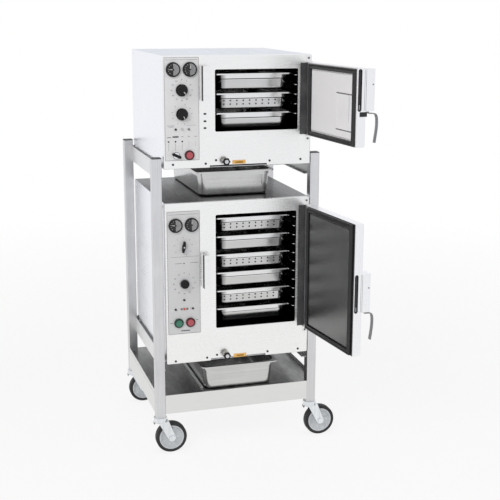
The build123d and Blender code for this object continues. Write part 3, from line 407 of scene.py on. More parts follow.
TO_FRONT = Matrix.Rotation(pi / 2, 4, "X")
TO_REAR = Matrix.Rotation(-pi / 2, 4, "X")
TO_LEFT = Matrix.Rotation(-pi / 2, 4, "Y")
TO_RIGHT = Matrix.Rotation(pi / 2, 4, "Y")
CORNERS = ("front_left", "front_right", "rear_left", "rear_right")
WHEEL_RADIUS, WHEEL_HALF, TYRE_THICK = 63.5, 16.0, 13.0
CORE_RADIUS = WHEEL_RADIUS - TYRE_THICK
CORE_POCKETS = 5

zinc_plate = brushed_steel("bright_zinc_plate", "#f1f3f5", "#d2d6d9", 0.2, "z", spacing=6.0)
tyre_rubber = moulded("black_tyre_rubber", "#19191a", "#2e2e2f", 0.62, grit=2.0, bump=0.3)
core_plastic = moulded("grey_core_polypropylene", "#cbced1", "#dcdfe2", 0.42)
dress(zinc_plate, "caster_stems", *(f"{corner}_fork" for corner in CORNERS))

tyre = rod(72, WHEEL_RADIUS, 2 * WHEEL_HALF)
hollow_out(tyre, along(z=1), TYRE_THICK + 0.6)
round_edges(tyre, 4.5 * MM, segments=4)

core = rod(60, CORE_RADIUS, 2 * WHEEL_HALF - 2)
press(core, along(z=1), (5, 0), (2, -5), (26, 0), (1.5, 8))
DISC_INNER, DISC_OUTER = 18 * MM, 43 * MM


def in_pocket(centre, normal):
    """True for the faces of the core's disc that lie between its spokes."""
    turn = Vector((centre.x, centre.y)).angle_signed(Vector((1, 0)), 0) % (2 * pi / CORE_POCKETS)
    beside = abs(turn - pi / CORE_POCKETS) < 0.6 * pi / CORE_POCKETS
    return abs(normal.z) > 0.9 and DISC_INNER < centre.xy.length < DISC_OUTER and beside


press(core, in_pocket, (2, -4.0))
round_edges(core, 0.8 * MM)

NUT_RADIUS, NUT_DEPTH, NUT_IN = 12.4, 5.0, 1.0
nut = rod(6, NUT_RADIUS, NUT_DEPTH)
press(nut, toward(z=1), (4.6, 0), (0.4, -1.4))
round_edges(nut, 0.6 * MM)

RACE_RADIUS, RACE_WIRE, RACE_HEIGHTS = 24.6, 2.2, (138.8, 148.6)
race = start("torus", major_radius=RACE_RADIUS * MM, minor_radius=RACE_WIRE * MM,
             major_segments=56, minor_segments=12)
races = copies(race, [at(0, 0, height) for height in RACE_HEIGHTS])

SWIVEL_OFFSET, PEDAL_IN, PEDAL_HEIGHT = 43.0, 17.5, 133.2
pedal = block(14, 24, 3)
pick(pedal, toward(x=-1))
bpy.ops.mesh.extrude_region_move(TRANSFORM_OT_translate={"value": (-2 * MM, 0, -4 * MM)})
bpy.ops.mesh.extrude_region_move(TRANSFORM_OT_translate={"value": (0.5 * MM, 0, -5 * MM)})
close_up()
round_edges(pedal, 0.8 * MM)
pedal_steel = moulded("black_painted_pedal_steel", "#2b2b2c", "#454546", 0.4)

for corner in CORNERS:
    low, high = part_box(f"{corner}_wheel")
    hub = (low + high) / 2 / MM
    facing = at(*hub, TO_FRONT)
    fork_low, fork_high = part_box(f"{corner}_fork")
    stem_x = hub.x - SWIVEL_OFFSET
    tread = fit(copies(tyre, [facing]), f"{corner}_tyre", tyre_rubber, f"{corner}_wheel")
    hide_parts(f"{corner}_wheel")
    fit(copies(core, [facing]), f"{corner}_wheel_core", core_plastic, f"{corner}_wheel")
    nut_turns = [
        at(hub.x, fork_low.y / MM + NUT_IN + NUT_DEPTH / 2, hub.z, TO_FRONT),
        at(hub.x, fork_high.y / MM - NUT_IN - NUT_DEPTH / 2, hub.z, TO_REAR)]
    fit(copies(nut, nut_turns), f"{corner}_axle_nuts", zinc_plate, f"{corner}_caster")
    fit(copies(races, [at(stem_x, hub.y, 0)]), f"{corner}_race", zinc_plate, "stand")
    pedal_place = at(stem_x - PEDAL_IN, hub.y, PEDAL_HEIGHT)
    fit(copies(pedal, [pedal_place]), f"{corner}_lock_pedal", pedal_steel, f"{corner}_caster")
for master in (tyre, core, nut, race, races, pedal):
    bpy.data.objects.remove(master)

# Casings and back panels: folded stainless sheet with a satin grain along the depth. The back panels
# are screwed on round their edge and have pressed louvres above the drain and the cable gland.
casing_steel = brushed_steel(
    "satin_casing_steel", "#f9fafc", "#f0f1f4", 0.3, "y", spacing=4.0, bump=0.0)
back_steel = brushed_steel("satin_back_steel", "#e2e3e5", "#d0d1d3", 0.34, "x")
screw_steel = brushed_steel("nickelled_screw_steel", "#8f8f90", "#6c6c6d", 0.35, "z")
LOWER_TOP = 1033.3
UPPER_TOP = 1592.2
# The lower casing's top is painted dark as the shade and reflection of the upper unit above it.
paint_shade_and_reflection_on_top(casing_steel, LOWER_TOP, "#2d2d2c", "#5a5a59")
# The upper casing's top is painted bluish grey as a painted reflection.
paint_shade_and_reflection_on_top(casing_steel, UPPER_TOP, "#d3d7de", "#e3e6eb")
dress(casing_steel, "casings")
dress(back_steel, "back_panels")

SCREW_RADIUS, SCREW_PROUD = 4.4, 1.8
screw = rod(24, SCREW_RADIUS, 2 * SCREW_PROUD)
press(screw, toward(z=1), (2.3, 0), (0.4, -0.9))
round_edges(screw, 0.7 * MM, segments=3)

louvre = start("cylinder", vertices=32, radius=5 * MM, depth=92 * MM, rotation=(0, pi / 2, 0))
bpy.ops.object.transform_apply(rotation=True)
bpy.ops.object.mode_set(mode="EDIT")
bpy.ops.mesh.select_all(action="SELECT")
bpy.ops.mesh.bisect(plane_co=(0, 0, 0), plane_no=(0, 0, 1), clear_inner=True, use_fill=True)
close_up()
press(louvre, along(x=1), (0.8, 1.2))
round_edges(louvre, 0.8 * MM)

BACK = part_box("back_panels")[1].y / MM
UNIT_HALF = 295.3
UNITS = {"upper": (1165.7, UPPER_TOP), "lower": (381.7, LOWER_TOP)}
EDGE_IN = 14.0
LOUVRE_PITCH, LOUVRE_DOWN, LOUVRE_COLUMNS = 22.0, 70.0, (-150, -30)
for unit, (bottom, top) in UNITS.items():
    around = [(x, z) for x in (-UNIT_HALF + EDGE_IN, 0, UNIT_HALF - EDGE_IN)
              for z in (bottom + EDGE_IN, top - EDGE_IN)]
    around += [(x, (bottom + top) / 2) for x in (-UNIT_HALF + EDGE_IN, UNIT_HALF - EDGE_IN)]
    turns = [at(x, BACK, z, TO_REAR) for x, z in around]
    fit(copies(screw, turns), f"{unit}_back_screws", screw_steel, "stand")
    count = int((top - bottom) / 2 / LOUVRE_PITCH)
    rows = [at(x, BACK - 0.5, top - LOUVRE_DOWN - LOUVRE_PITCH * i, TO_REAR)
            for x in LOUVRE_COLUMNS for i in range(count)]
    fit(copies(louvre, rows), f"{unit}_louvres", back_steel, "stand")
    beside = [at(-UNIT_HALF, y, top - 18, TO_LEFT) for y in (-285, 255)]
    beside += [at(-UNIT_HALF, y, bottom + 16, TO_LEFT) for y in (-230, 240)]
    beside += [at(UNIT_HALF, y, z, TO_RIGHT) for y in (-285, 255) for z in (top - 18, bottom + 16)]
    fit(copies(screw, beside), f"{unit}_side_screws", casing_steel, "stand")
bpy.data.objects.remove(louvre)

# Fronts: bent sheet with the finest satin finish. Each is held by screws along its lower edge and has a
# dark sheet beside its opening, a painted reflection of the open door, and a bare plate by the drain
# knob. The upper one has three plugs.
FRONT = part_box("front_panels")[0].y / MM
front_steel = brushed_steel("satin_front_steel", "#f4f4f2", "#efefed", 0.28, "x", spacing=2.0, bump=0.0)
dark_steel = brushed_steel("blackened_screw_steel", "#4a4a4b", "#343435", 0.4, "z")
dress(front_steel, "front_panels")
FRONT_SCREWS = (
    (-260, 1183), (-131, 1182), (-90, 1194), (127, 1184), (255, 1185),
    (-260, 393), (-131, 396), (-90, 404), (124, 398), (255, 397))
turns = [at(x, FRONT, z, TO_FRONT) for x, z in FRONT_SCREWS]
fit(copies(screw, turns), "front_screws", dark_steel, "stand")

plug = rod(32, 6, 2.4)
bpy.ops.transform.resize(value=(1, 0.62, 1))
bpy.ops.object.transform_apply(scale=True)
press(plug, toward(z=1), (1.2, 0.5))
round_edges(plug, 0.5 * MM)
plug_rubber = moulded("black_plug_rubber", "#262627", "#3a3a3b", 0.55)
fit(copies(plug, [at(-133, FRONT - 0.5, z, TO_FRONT) for z in (1373, 1345, 1319)]),
    "front_plugs", plug_rubber, "stand")
bpy.data.objects.remove(plug)

REFLECTION_X, REFLECTION_THICK = (250.0, 281.0), 0.25
REFLECTION_HEIGHTS = {"upper": (1283.0, 1560.0), "lower": (497.0, 999.0)}
# The dark sheet by each hinge is a painted reflection of the open door in the front's margin.
door_reflection_paint = moulded("painted_door_reflection", "#3d3d3e", "#545455", 0.5)
for unit, (low, high) in REFLECTION_HEIGHTS.items():
    reflection_sheet = block(REFLECTION_X[1] - REFLECTION_X[0], REFLECTION_THICK, high - low)
    press(reflection_sheet, toward(y=-1), (2.5, -0.1))
    reflection_sheet.location = Vector((sum(REFLECTION_X) / 2, FRONT - REFLECTION_THICK / 2, (low + high) / 2)) * MM
    fit(reflection_sheet, f"{unit}_hinge_side_painted_reflection", door_reflection_paint, "stand")

plate_gold = brushed_steel("gold_anodised_plate", "#f3c887", "#d9a352", 0.34, "x", spacing=1.5)
deep_gold = brushed_steel("darker_gold_plate_centre", "#b98a3c", "#7d5a22", 0.4, "x", spacing=1.5)
for unit, middle, height in (("upper", 2.0, 1184.0), ("lower", 6.5, 394.0)):
    plate = block(53, 1.2, 15)
    press(plate, toward(y=-1), (2, 0), (0.4, -0.4))
    plate.location = Vector((middle, FRONT - 0.6, height)) * MM
    round_edges(plate, 0.3 * MM)
    fit(plate, f"{unit}_bare_plate", plate_gold, "stand")
    # Each plate has a darker gold centre.
    shade = block(30, 0.3, 5.5)
    press(shade, toward(y=-1), (0.8, 0.1))
    shade.location = Vector((middle + 1, FRONT - 1.3, height - 1)) * MM
    fit(shade, f"{unit}_bare_plate_centre", deep_gold, "stand")

# Cavities: welded liners painted near black inside as painted shade, with bright wire racks, and what
# hides behind them: cast heater plates, fan wheels in their plenums and their motors.
# The liners' near-black colour is painted shade.
shaded_liner_steel = brushed_steel("painted_shade_liner_steel", "#2b2b2c", "#141415", 0.42, "z", spacing=5.0)
rack_wire = brushed_steel("bright_nickelled_wire", "#f2f2f2", "#d5d5d6", 0.18, "y", spacing=5.0)
cast_metal = moulded("as_cast_aluminium", "#8d8f91", "#a4a6a8", 0.5, grit=2.5, bump=0.5)
tune(cast_metal, "Metallic", 0.8)
dress(shaded_liner_steel, "cavities")
dress(rack_wire, "pan_racks")
dress(cast_metal, "heater_plates", "fan_motors")
dress(back_steel, "upper_fan_wheel", "lower_fan_wheel")

# Pans: deep-drawn stainless steel, brighter than the sheet, with painted shade: a dark line at the step
# that lets them stack, a greyer bowl below it and darker front corners. The drip pans are older and
# duller.
PAN_STEP_DEPTH, PAN_SEAM, PAN_LIP, PAN_CORNER = 21.0, 3.4, 5.5, 52.0


def drawn_pans(unit, count):
    """Bright drawn steel with painted shade: a dark line at the step, a greyer bowl below it and dark
    corners.
    """
    pans = [f"{unit}_pan_{i + 1}" for i in range(count)]
    rims = sorted((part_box(name)[1].z for name in pans), reverse=True)
    near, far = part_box(pans[0])
    name = f"bright_{unit}_pan_steel"
    material = brushed_steel(name, "#e9e9e8", "#dcdcdb", 0.13, "x", spacing=6.0, bump=0.0)
    tree = material.node_tree
    colour = tree.nodes["Principled BSDF"].inputs["Base Color"]
    clean = colour.links[0].from_socket
    parts = add_node(tree, "SeparateXYZ", {"Vector": add_node(tree, "TexCoord").outputs["Object"]})
    below = figure(tree, "SUBTRACT", rims[0], parts.outputs["Z"])
    depth = figure(tree, "MODULO", below, rims[0] - rims[1])
    step = PAN_STEP_DEPTH * MM
    # A painted shade line at the step.
    seam = figure(tree, "COMPARE", depth, step, PAN_SEAM / 2 * MM)
    bowl = add_node(tree, "MapRange", {
        "Value": depth, "From Min": step, "From Max": step + 6 * MM, "To Max": 0.5})
    walls = figure(tree, "GREATER_THAN", depth, PAN_LIP * MM)
    corner = PAN_CORNER * MM
    left = add_node(tree, "MapRange", {
        "Value": parts.outputs["X"], "From Min": near.x + 0.55 * corner,
        "From Max": near.x + 1.05 * corner, "To Min": 1.0, "To Max": 0.0})
    right = add_node(tree, "MapRange", {
        "Value": parts.outputs["X"], "From Min": far.x - 0.6 * corner,
        "From Max": far.x - 0.3 * corner})
    front = add_node(tree, "MapRange", {
        "Value": parts.outputs["Y"], "From Min": near.y + corner, "From Max": near.y + 1.5 * corner,
        "To Min": 0.97, "To Max": 0.0})
    sides = figure(tree, "ADD", left.outputs[0], right.outputs[0])
    corners = figure(tree, "MULTIPLY", sides, front.outputs[0])
    dark = figure(tree, "MAXIMUM", seam, figure(tree, "MULTIPLY", corners, walls))
    # The bowl below the step is painted greyer, and the front corners dark, as painted shade.
    grey = blend(tree, bowl.outputs[0], clean, linear("#a9a9a8"))
    tree.links.new(blend(tree, dark, grey, linear("#2b2b2b")), colour)
    dress(material, *pans)


drawn_pans("upper", 3)
drawn_pans("lower", 6)
drip_steel = brushed_steel(
    "dull_drawn_pan_steel", "#d2d2d0", "#c0c0be", 0.2, "x", spacing=6.0, bump=0.0)
dress(drip_steel, "upper_drip_pan", "lower_drip_pan")

# Control overlays: grey printed plates with a thin border, a header line, row lines and marks round the
# knobs. The numbers are plain ones and the maker's place is bare. The upper plate is the paler one.
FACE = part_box("control_overlays")[0].y / MM
INK_PROUD = 0.12
BETWEEN_UNITS = 1100.0


def two_tone(name, low, high, axis, split, roughness, metals=(0.0, 0.0)):
    """A finish of one mottled tone below a plane across an axis, and another one above it."""
    material, tree, surface, place = new_material(name, roughness)
    parts = add_node(tree, "SeparateXYZ", {"Vector": place})
    above = figure(tree, "GREATER_THAN", parts.outputs[axis], split * MM)
    patches = add_node(tree, "TexNoise", {"Vector": place, "Scale": 90.0, "Detail": 3.0})
    tones = [
        blend(tree, patches.outputs["Fac"], linear(deep), linear(pale)) for deep, pale in (low, high)]
    tint = blend(tree, above, *tones)
    metal = add_node(tree, "MapRange", {"Value": above, "To Min": metals[0], "To Max": metals[1]})
    tree.links.new(tint, surface.inputs["Base Color"])
    tree.links.new(metal.outputs[0], surface.inputs["Metallic"])
    return material


overlay_print = two_tone(
    "grey_polyester_overlay", ("#dadadb", "#e2e2e3"), ("#e7e7e8", "#eeeeef"), "Z", BETWEEN_UNITS, 0.42)
ink = moulded("dark_grey_ink", "#58585b", "#69696c", 0.6, grit=0.5, bump=0.02)
faint_ink = moulded("mauve_border_ink", "#9a9096", "#a89ea4", 0.6, grit=0.5, bump=0.02)
dress(overlay_print, "control_overlays")


def bar(x0, x1, z0, z1):
    """A printed bar on an overlay, from its corners in millimetres."""
    strip = start("cube", size=1, scale=((x1 - x0) * MM, INK_PROUD * MM, (z1 - z0) * MM),
                  location=((x0 + x1) / 2 * MM, (FACE - INK_PROUD / 2) * MM, (z0 + z1) / 2 * MM))
    return strip


def border(x0, x1, z0, z1, line):
    """A printed frame line inside the edge of an overlay."""
    ring = bar(x0, x1, z0, z1)
    hollow_out(ring, along(y=1), line)
    return ring


def number(text, x, z, size):
    """A plain printed number."""
    deselect()
    bpy.ops.object.text_add(location=(x * MM, FACE * MM, z * MM), rotation=(pi / 2, 0, 0))
    digits = bpy.context.object
    digits.data.body = text
    digits.data.size = size * MM
    digits.data.extrude = INK_PROUD * MM
    digits.data.align_x = "CENTER"
    digits.data.align_y = "CENTER"
    digits.data.resolution_u = 3
    bpy.ops.object.convert(target="MESH")
    return bpy.context.object


def round_the_knob(place, radius, angles, texts=()):
    """Ticks, or numbers where texts are given, round a knob at clockwise angles from twelve o'clock."""
    marks = []
    for i, angle in enumerate(angles):
        x = place[0] + radius * sin(radians(angle))
        z = place[1] + radius * cos(radians(angle))
        if texts:
            marks.append(number(texts[i], x, z, 7.5))
        else:
            tick = bar(x - 0.7, x + 0.7, z - 2.4, z + 2.4)
            tick.rotation_euler.y = radians(angle)
            marks.append(tick)
    return marks


UPPER_PLATE, LOWER_PLATE = (-291.0, -155.0, 1197.0, 1587.0), (-289.0, -156.5, 505.0, 1002.0)
UPPER_TIMER, UPPER_MODE = (-223.0, 1464.0), (-223.0, 1374.0)
LOWER_POWER, LOWER_TIMER = (-224.0, 861.0), (-222.0, 712.0)
TWELVE = [30 * i for i in range(12)]
MINUTES = [str(5 * i) for i in range(12)]
NINE = [20, 56, 88, 126, 165, 205, 246, 283, 319]
EIGHT = [0, 45, 80, 125, 160, 235, 280, 320]
WINDOW_XS = (-276, -249, -223)
UPPER_BARS = (
    (-284, -162, 1576.5, 1577.4), (-282, -252, 1331, 1332), (-209, -165, 1331.5, 1332.2),
    (-281, -266, 1286, 1288.5), (-261, -237, 1286, 1292))
LOWER_BARS = (
    (-282, -163, 988, 989), (-275, -160, 819.5, 820.3), (-258, -230, 793, 794.5),
    (-196, -166, 793.5, 795), (-224.5, -219.5, 791, 796), (-281, -270, 551, 553),
    (-176, -166, 559, 561), (-237, -201, 516.5, 520.5), (-197, -195.5, 604, 613))
upper_marks = [bar(*corners) for corners in UPPER_BARS]
upper_marks += [bar(x - 0.4, x + 0.4, 1236, 1264) for x in WINDOW_XS]
upper_marks += round_the_knob(UPPER_TIMER, 39, TWELVE, MINUTES)
upper_marks += round_the_knob(UPPER_MODE, 38, NINE)
fit(join(upper_marks), "upper_printed_marks", ink, "stand")
lower_marks = [bar(*corners) for corners in LOWER_BARS]
lower_marks += round_the_knob(LOWER_POWER, 36, EIGHT)
lower_marks += round_the_knob(LOWER_TIMER, 42, TWELVE, MINUTES)
fit(join(lower_marks), "lower_printed_marks", ink, "stand")
faint_marks = [bar(x - 5, x + 5, 1288, 1290) for x in (-223, -197, -170)]
faint_marks += [bar(x - 0.4, x + 0.4, 1250, 1272) for x in (-197, -170)]
faint_marks += [bar(-276, -255, 1326, 1328)]
fit(join(faint_marks), "upper_faint_marks", faint_ink, "stand")
BORDER_IN, BORDER_LINE = 1.5, 1.4
frames = [
    border(x0 + BORDER_IN, x1 - BORDER_IN, z0 + BORDER_IN, z1 - BORDER_IN, BORDER_LINE)
    for x0, x1, z0, z1 in (UPPER_PLATE, LOWER_PLATE)]
fit(join(frames), "overlay_borders", faint_ink, "stand")

dot = rod(24, 3.2, 1.0)
press(dot, toward(z=1), (0.8, 0.3))
round_edges(dot, 0.2 * MM)
black_dot = moulded("black_window_acrylic", "#0d0d0e", "#171718", 0.2, bump=0.02)
grey_dot = moulded("smoked_window_acrylic", "#77777a", "#8a8a8d", 0.25, bump=0.02)
pale_dot = moulded("clear_window_acrylic", "#c4c4c6", "#d2d2d4", 0.25, bump=0.02)
fit(copies(dot, [at(x, FACE, 1271, TO_FRONT) for x in WINDOW_XS]),
    "dark_windows", black_dot, "stand")
bpy.data.objects.remove(dot)

# Gauges: black moulded bezels with a recessed dial in painted light and shade, black on its left half
# and grey on its right, a ring of white scale marks, and a white needle on a black hub.
GAUGES = ((-255.0, 1541.0), (-191.0, 1541.0), (-254.0, 946.0), (-190.0, 946.0))
NEEDLE_TURNS = (-90, 10, -80, 0)
DIAL = FACE - 6.0
DIAL_RADIUS, MARK_RADIUS = 22.6, 19.0
chrome = brushed_steel("polished_chrome", "#e3e4e6", "#c3c4c6", 0.12, "x", spacing=6.0)
shaded_dial_half = moulded("painted_shade_dial_half", "#101011", "#1c1c1d", 0.3, bump=0.02)
lit_dial_half = moulded("painted_light_dial_half", "#8c8c8e", "#9d9d9f", 0.3, bump=0.02)
white_paint = moulded("white_marking_paint", "#f2f2f0", "#e2e2e0", 0.5, bump=0.02)
bezel_plastic = moulded("black_bezel_nylon", "#121213", "#1e1e1f", 0.4)
tune(bezel_plastic, "Specular IOR Level", 0.25)
dress(bezel_plastic, "indicators")
dials, scale_marks, needles = [], [], []
for (x, z), turn in zip(GAUGES, NEEDLE_TURNS):
    dial = rod(64, DIAL_RADIUS, 0.5)
    bpy.ops.object.mode_set(mode="EDIT")
    bpy.ops.mesh.select_all(action="SELECT")
    bpy.ops.mesh.bisect(plane_co=(0, 0, 0), plane_no=(1, 0, 0))
    close_up()
    # The left half takes the painted shade and the right half the painted light.
    dial.data.materials.append(shaded_dial_half)
    dial.data.materials.append(lit_dial_half)
    pick(dial, lambda centre, normal: centre.x > 0)
    dial.active_material_index = 1
    bpy.ops.object.material_slot_assign()
    close_up()
    dial.matrix_world = at(x, DIAL - 0.3, z, TO_FRONT)
    dials.append(dial)
    for angle in range(-135, 136, 27):
        mark = block(0.9, 0.3, 3.4)
        turned = Matrix.Rotation(radians(angle), 4, "Y")
        mark.matrix_world = at(x, DIAL - 0.7, z) @ turned @ at(0, 0, MARK_RADIUS)
        scale_marks.append(mark)
    needle = block(3.0, 0.5, 21)
    pick(needle, toward(z=1))
    bpy.ops.transform.resize(value=(0.3, 1, 1))
    close_up()
    needle.matrix_world = at(x, DIAL - 1.4, z) @ Matrix.Rotation(radians(turn), 4, "Y") @ at(0, 0, 6.5)
    needles.append(needle)
fit(join(dials), "gauge_dials", None, "stand")
fit(join(scale_marks), "gauge_scale_marks", white_paint, "stand")
fit(join(needles), "gauge_needles", white_paint, "stand")
hub = rod(24, 3.4, 1.6)
press(hub, toward(z=1), (1.2, 0.5))
fit(copies(hub, [at(x, DIAL - 1.6, z, TO_FRONT) for x, z in GAUGES]),
    "gauge_hubs", black_dot, "stand")
bpy.data.objects.remove(hub)

# Lamps: domed acrylic lenses over the round lamp bodies, and two that sit on the overlay itself. One
# is red, one amber, and the rest are dark because they are off.
lens = start("uv_sphere", segments=24, ring_count=12, radius=4.4 * MM)
bpy.ops.object.mode_set(mode="EDIT")
bpy.ops.mesh.select_all(action="SELECT")
bpy.ops.mesh.bisect(plane_co=(0, 0, 0), plane_no=(0, 0, 1), clear_inner=True, use_fill=True)
bpy.ops.mesh.select_all(action="SELECT")
bpy.ops.transform.resize(value=(1, 1, 0.5))
close_up()
red_lens = moulded("red_lens_acrylic", "#d8453f", "#ef7a70", 0.18, bump=0.02)
amber_lens = moulded("amber_lens_acrylic", "#8d4c3a", "#b5714f", 0.18, bump=0.02)
LAMP_FACE = FACE - 2.0
BARE_LENSES = ((-234, 608), (-211, 608))
for name, material, places in (
    ("dark_lamp_lenses", black_dot, ((-248, 1317), (-223, 645), (-258, 608))),
    ("grey_lamp_lenses", grey_dot, ((-197, 1317), (-234, 608))),
    ("faint_lamp_lens", pale_dot, ((-223, 1317),)),
    ("red_lamp_lens", red_lens, ((-223, 608),)),
    ("amber_lamp_lens", amber_lens, ((-211, 608),)),
):
    slot = "red" if material is red_lens else "black_plastic"
    seats = [at(x, FACE if (x, z) in BARE_LENSES else LAMP_FACE, z, TO_FRONT) for x, z in places]
    fit(copies(lens, seats), name, material, "stand")
bpy.data.objects.remove(lens)

# Knobs: black phenolic with white filled pointers. The lower timer has a grey skirt, the lower power
# switch a slim grip that narrows to both ends on a pale disc, and the upper selector a chromed disc.
KNOB_FOOT = FACE - 0.3
BLACKS = ("#0c0c0d", "#171718")
SKIRT_PLANE, DISC_PLANE = KNOB_FOOT - 6.8, KNOB_FOOT - 5.15
black_phenolic = moulded("black_phenolic", *BLACKS, 0.36, bump=0.03)
grey_skirted = two_tone(
    "phenolic_on_grey_skirt", BLACKS, ("#bdbdbf", "#cfcfd1"), "Y", SKIRT_PLANE, 0.36)
chrome_skirted = two_tone(
    "phenolic_on_chrome_disc", BLACKS, ("#dfe0e2", "#f1f1f2"), "Y", DISC_PLANE, 0.25, (0.0, 1.0))
for finish in (black_phenolic, grey_skirted, chrome_skirted):
    tune(finish, "Specular IOR Level", 0.25)
dress(black_phenolic, "upper_timer_knob", "upper_mode_knob")
dress(grey_skirted, "lower_timer_knob")
dress(chrome_skirted, "upper_selector")

KNOB_FRONT, KNOB_RADIUS = KNOB_FOOT - 20.0, 22.8
for name, place, turn in (("upper_timer_knob", UPPER_TIMER, 140), ("upper_mode_knob", UPPER_MODE, 157)):
    spoke = at(place[0], 0, place[1]) @ Matrix.Rotation(radians(turn), 4, "Y")
    inlay = block(2.4, 0.6, KNOB_RADIUS - 12)
    pick(inlay, toward(z=1))
    bpy.ops.transform.resize(value=(0.7, 1, 1))
    close_up()
    inlay.matrix_world = spoke @ at(0, KNOB_FRONT + 0.25, KNOB_RADIUS / 2 + 1.2)
    tip = block(3.0, 0.6, 3.4)
    tip.matrix_world = spoke @ at(0, SKIRT_PLANE, KNOB_RADIUS - 1.7)
    fit(join([inlay, tip]), f"{name}_pointer", white_paint, name)

# A black ring round the chrome disc is painted shade along the disc's edge.
UPPER_SELECTOR, RING_RADIUS, RING_WIRE = (-247.0, 1218.0), 12.9, 0.9
ring = start("torus", major_radius=RING_RADIUS * MM, minor_radius=RING_WIRE * MM,
             major_segments=48, minor_segments=10)
fit(copies(ring, [at(UPPER_SELECTOR[0], KNOB_FOOT - 4.6, UPPER_SELECTOR[1], TO_FRONT)]),
    "upper_selector_painted_shade_ring", black_phenolic, "upper_selector")
bpy.data.objects.remove(ring)

POWER_DISC, POWER_GRIP, POWER_TURN = 17.0, (46.0, 14.5, 7.0), 9.0
grip_length, grip_middle, grip_end = POWER_GRIP
power_disc = rod(64, POWER_DISC, 5.0)
round_edges(power_disc, 0.8 * MM)
power_grip = block(grip_middle, grip_length, 14.6)
bpy.ops.object.mode_set(mode="EDIT")
bpy.ops.mesh.select_all(action="SELECT")
bpy.ops.mesh.bisect(plane_co=(0, 0, 0), plane_no=(0, 1, 0))
close_up()
for side in (1, -1):
    pick(power_grip, lambda centre, normal: normal.y * side > 0.9)
    bpy.ops.transform.resize(value=(grip_end / grip_middle, 1, 1))
    close_up()
pick(power_grip, toward(z=1))
bpy.ops.transform.resize(value=(0.86, 0.96, 1))
close_up()
round_edges(power_grip, 1.5 * MM, segments=3, angle=12)
stud = rod(24, 3.0, 1.2)
press(stud, toward(z=1), (1.0, 0.4))
power_turn = Matrix.Rotation(radians(POWER_TURN), 4, "Y")
disc_finish = moulded("pale_disc_nylon", "#d3d3d4", "#dedee0", 0.4)
for piece, name, depth, finish in (
    (power_disc, "lower_power_knob_disc", 2.5, disc_finish),
    (power_grip, "lower_power_knob_grip", 12.3, black_phenolic),
    (stud, "lower_power_knob_stud", 19.8, disc_finish),
):
    piece.matrix_world = at(LOWER_POWER[0], KNOB_FOOT - depth, LOWER_POWER[1]) @ power_turn @ TO_FRONT
    fit(piece, name, finish, "lower_power_knob")
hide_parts("lower_power_knob")

# Push buttons: a domed cap that slides in a dark collar. The stop buttons are red and the start button
# is green, and each collar is red or green like its cap, painted a deeper tone as painted shade.
COLLAR_RADIUS, COLLAR_PROUD, CAP_RADIUS = 18.7, 7.0, 13.0
collar = rod(56, COLLAR_RADIUS + 0.3, COLLAR_PROUD + 0.3)
hollow_out(collar, along(z=1), COLLAR_RADIUS - CAP_RADIUS - 0.1)
round_edges(collar, 1.6 * MM, segments=4)
button_red = moulded("red_button_nylon", "#b9545d", "#ca6a72", 0.35, bump=0.03)
button_green = moulded("green_button_nylon", "#3b7a63", "#4c8b74", 0.35, bump=0.03)
# The collars are the caps' colours painted darker as painted shade.
shaded_red_collar = moulded("red_collar_nylon_painted_shade", "#481a1f", "#5e242a", 0.38, bump=0.03)
shaded_green_collar = moulded("green_collar_nylon_painted_shade", "#1a3a2f", "#264a3e", 0.38, bump=0.03)
dress(cap_plastic, "switch_blocks")
dress(button_red, "upper_stop_button", "lower_stop_button")
dress(button_green, "lower_start_button")
COLLAR_Y = FACE - (COLLAR_PROUD + 0.3) / 2
for name, places, material, slot in (
    ("stop_collars", ((-196, 1218), (-199, 552)), shaded_red_collar, "red"),
    ("start_collar", ((-246, 552),), shaded_green_collar, "green"),
):
    turns = [at(x, COLLAR_Y, z, TO_FRONT) for x, z in places]
    fit(copies(collar, turns), name, material, "stand")
bpy.data.objects.remove(collar)

# Drains and rear fittings: nickelled brass valves with black lobed knobs that have a chromed centre,
# and at the rear of each unit a pipe stub and a cable gland of the same metal.
brass = brushed_steel("nickelled_brass", "#cfccc2", "#b3afa4", 0.3, "y", spacing=2.0)
dress(brass, "fittings")
VALVE_FACE = FRONT - 16.0
LOBES, LOBE_SWELL, LOBED_RADIUS, LOBED_DEPTH = 6, 0.08, 13.8, 12.0
lobed = rod(60, LOBED_RADIUS, LOBED_DEPTH)
for corner in lobed.data.vertices:
    swell = 1 + LOBE_SWELL * cos(LOBES * atan2(corner.co.y, corner.co.x))
    corner.co.x *= swell
    corner.co.y *= swell
round_edges(lobed, 1.2 * MM, segments=3, angle=60)
boss = rod(40, 7.8, 2.4)
press(boss, toward(z=1), (1.4, 0.6), (2.1, 0), (0.8, -0.9))
round_edges(boss, 0.4 * MM)
for unit, x, z in (("upper", -55.0, 1190.0), ("lower", -54.0, 404.0)):
    grip = copies(lobed, [at(x, VALVE_FACE - 0.3 - LOBED_DEPTH / 2, z, TO_FRONT)])
    fit(grip, f"{unit}_drain_knob_grip", black_phenolic, f"{unit}_drain_knob")
    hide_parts(f"{unit}_drain_knob")
    fit(copies(boss, [at(x, VALVE_FACE - 0.9 - LOBED_DEPTH, z, TO_FRONT)]),
        f"{unit}_drain_knob_centre", chrome, f"{unit}_drain_knob")
bpy.data.objects.remove(lobed)
bpy.data.objects.remove(boss)

# Doors: folded satin trays that hang on brackets with pins, an inner panel painted pale as painted light
# above and grey as painted shade below, and a black silicone gasket with two lips. A bent strike on each
# front takes the bolt.
HINGE_X, HINGE_Y = 283.0, FRONT - 20.0
GASKET_NEAR, GASKET_FARS, GASKET_WIDTH = 22.0, {"upper": 396.0, "lower": 389.0}, 18.0
GASKET_FACE, GASKET_SILL, GASKET_IN = -19.7, -10.5, 6.0
DOORS = {"upper": (1281.0, 1562.0, 95.7), "lower": (495.0, 1001.0, 96.8)}
LATCHES = {"upper": (1409.0, 1559.0), "lower": (662.0, 810.0)}


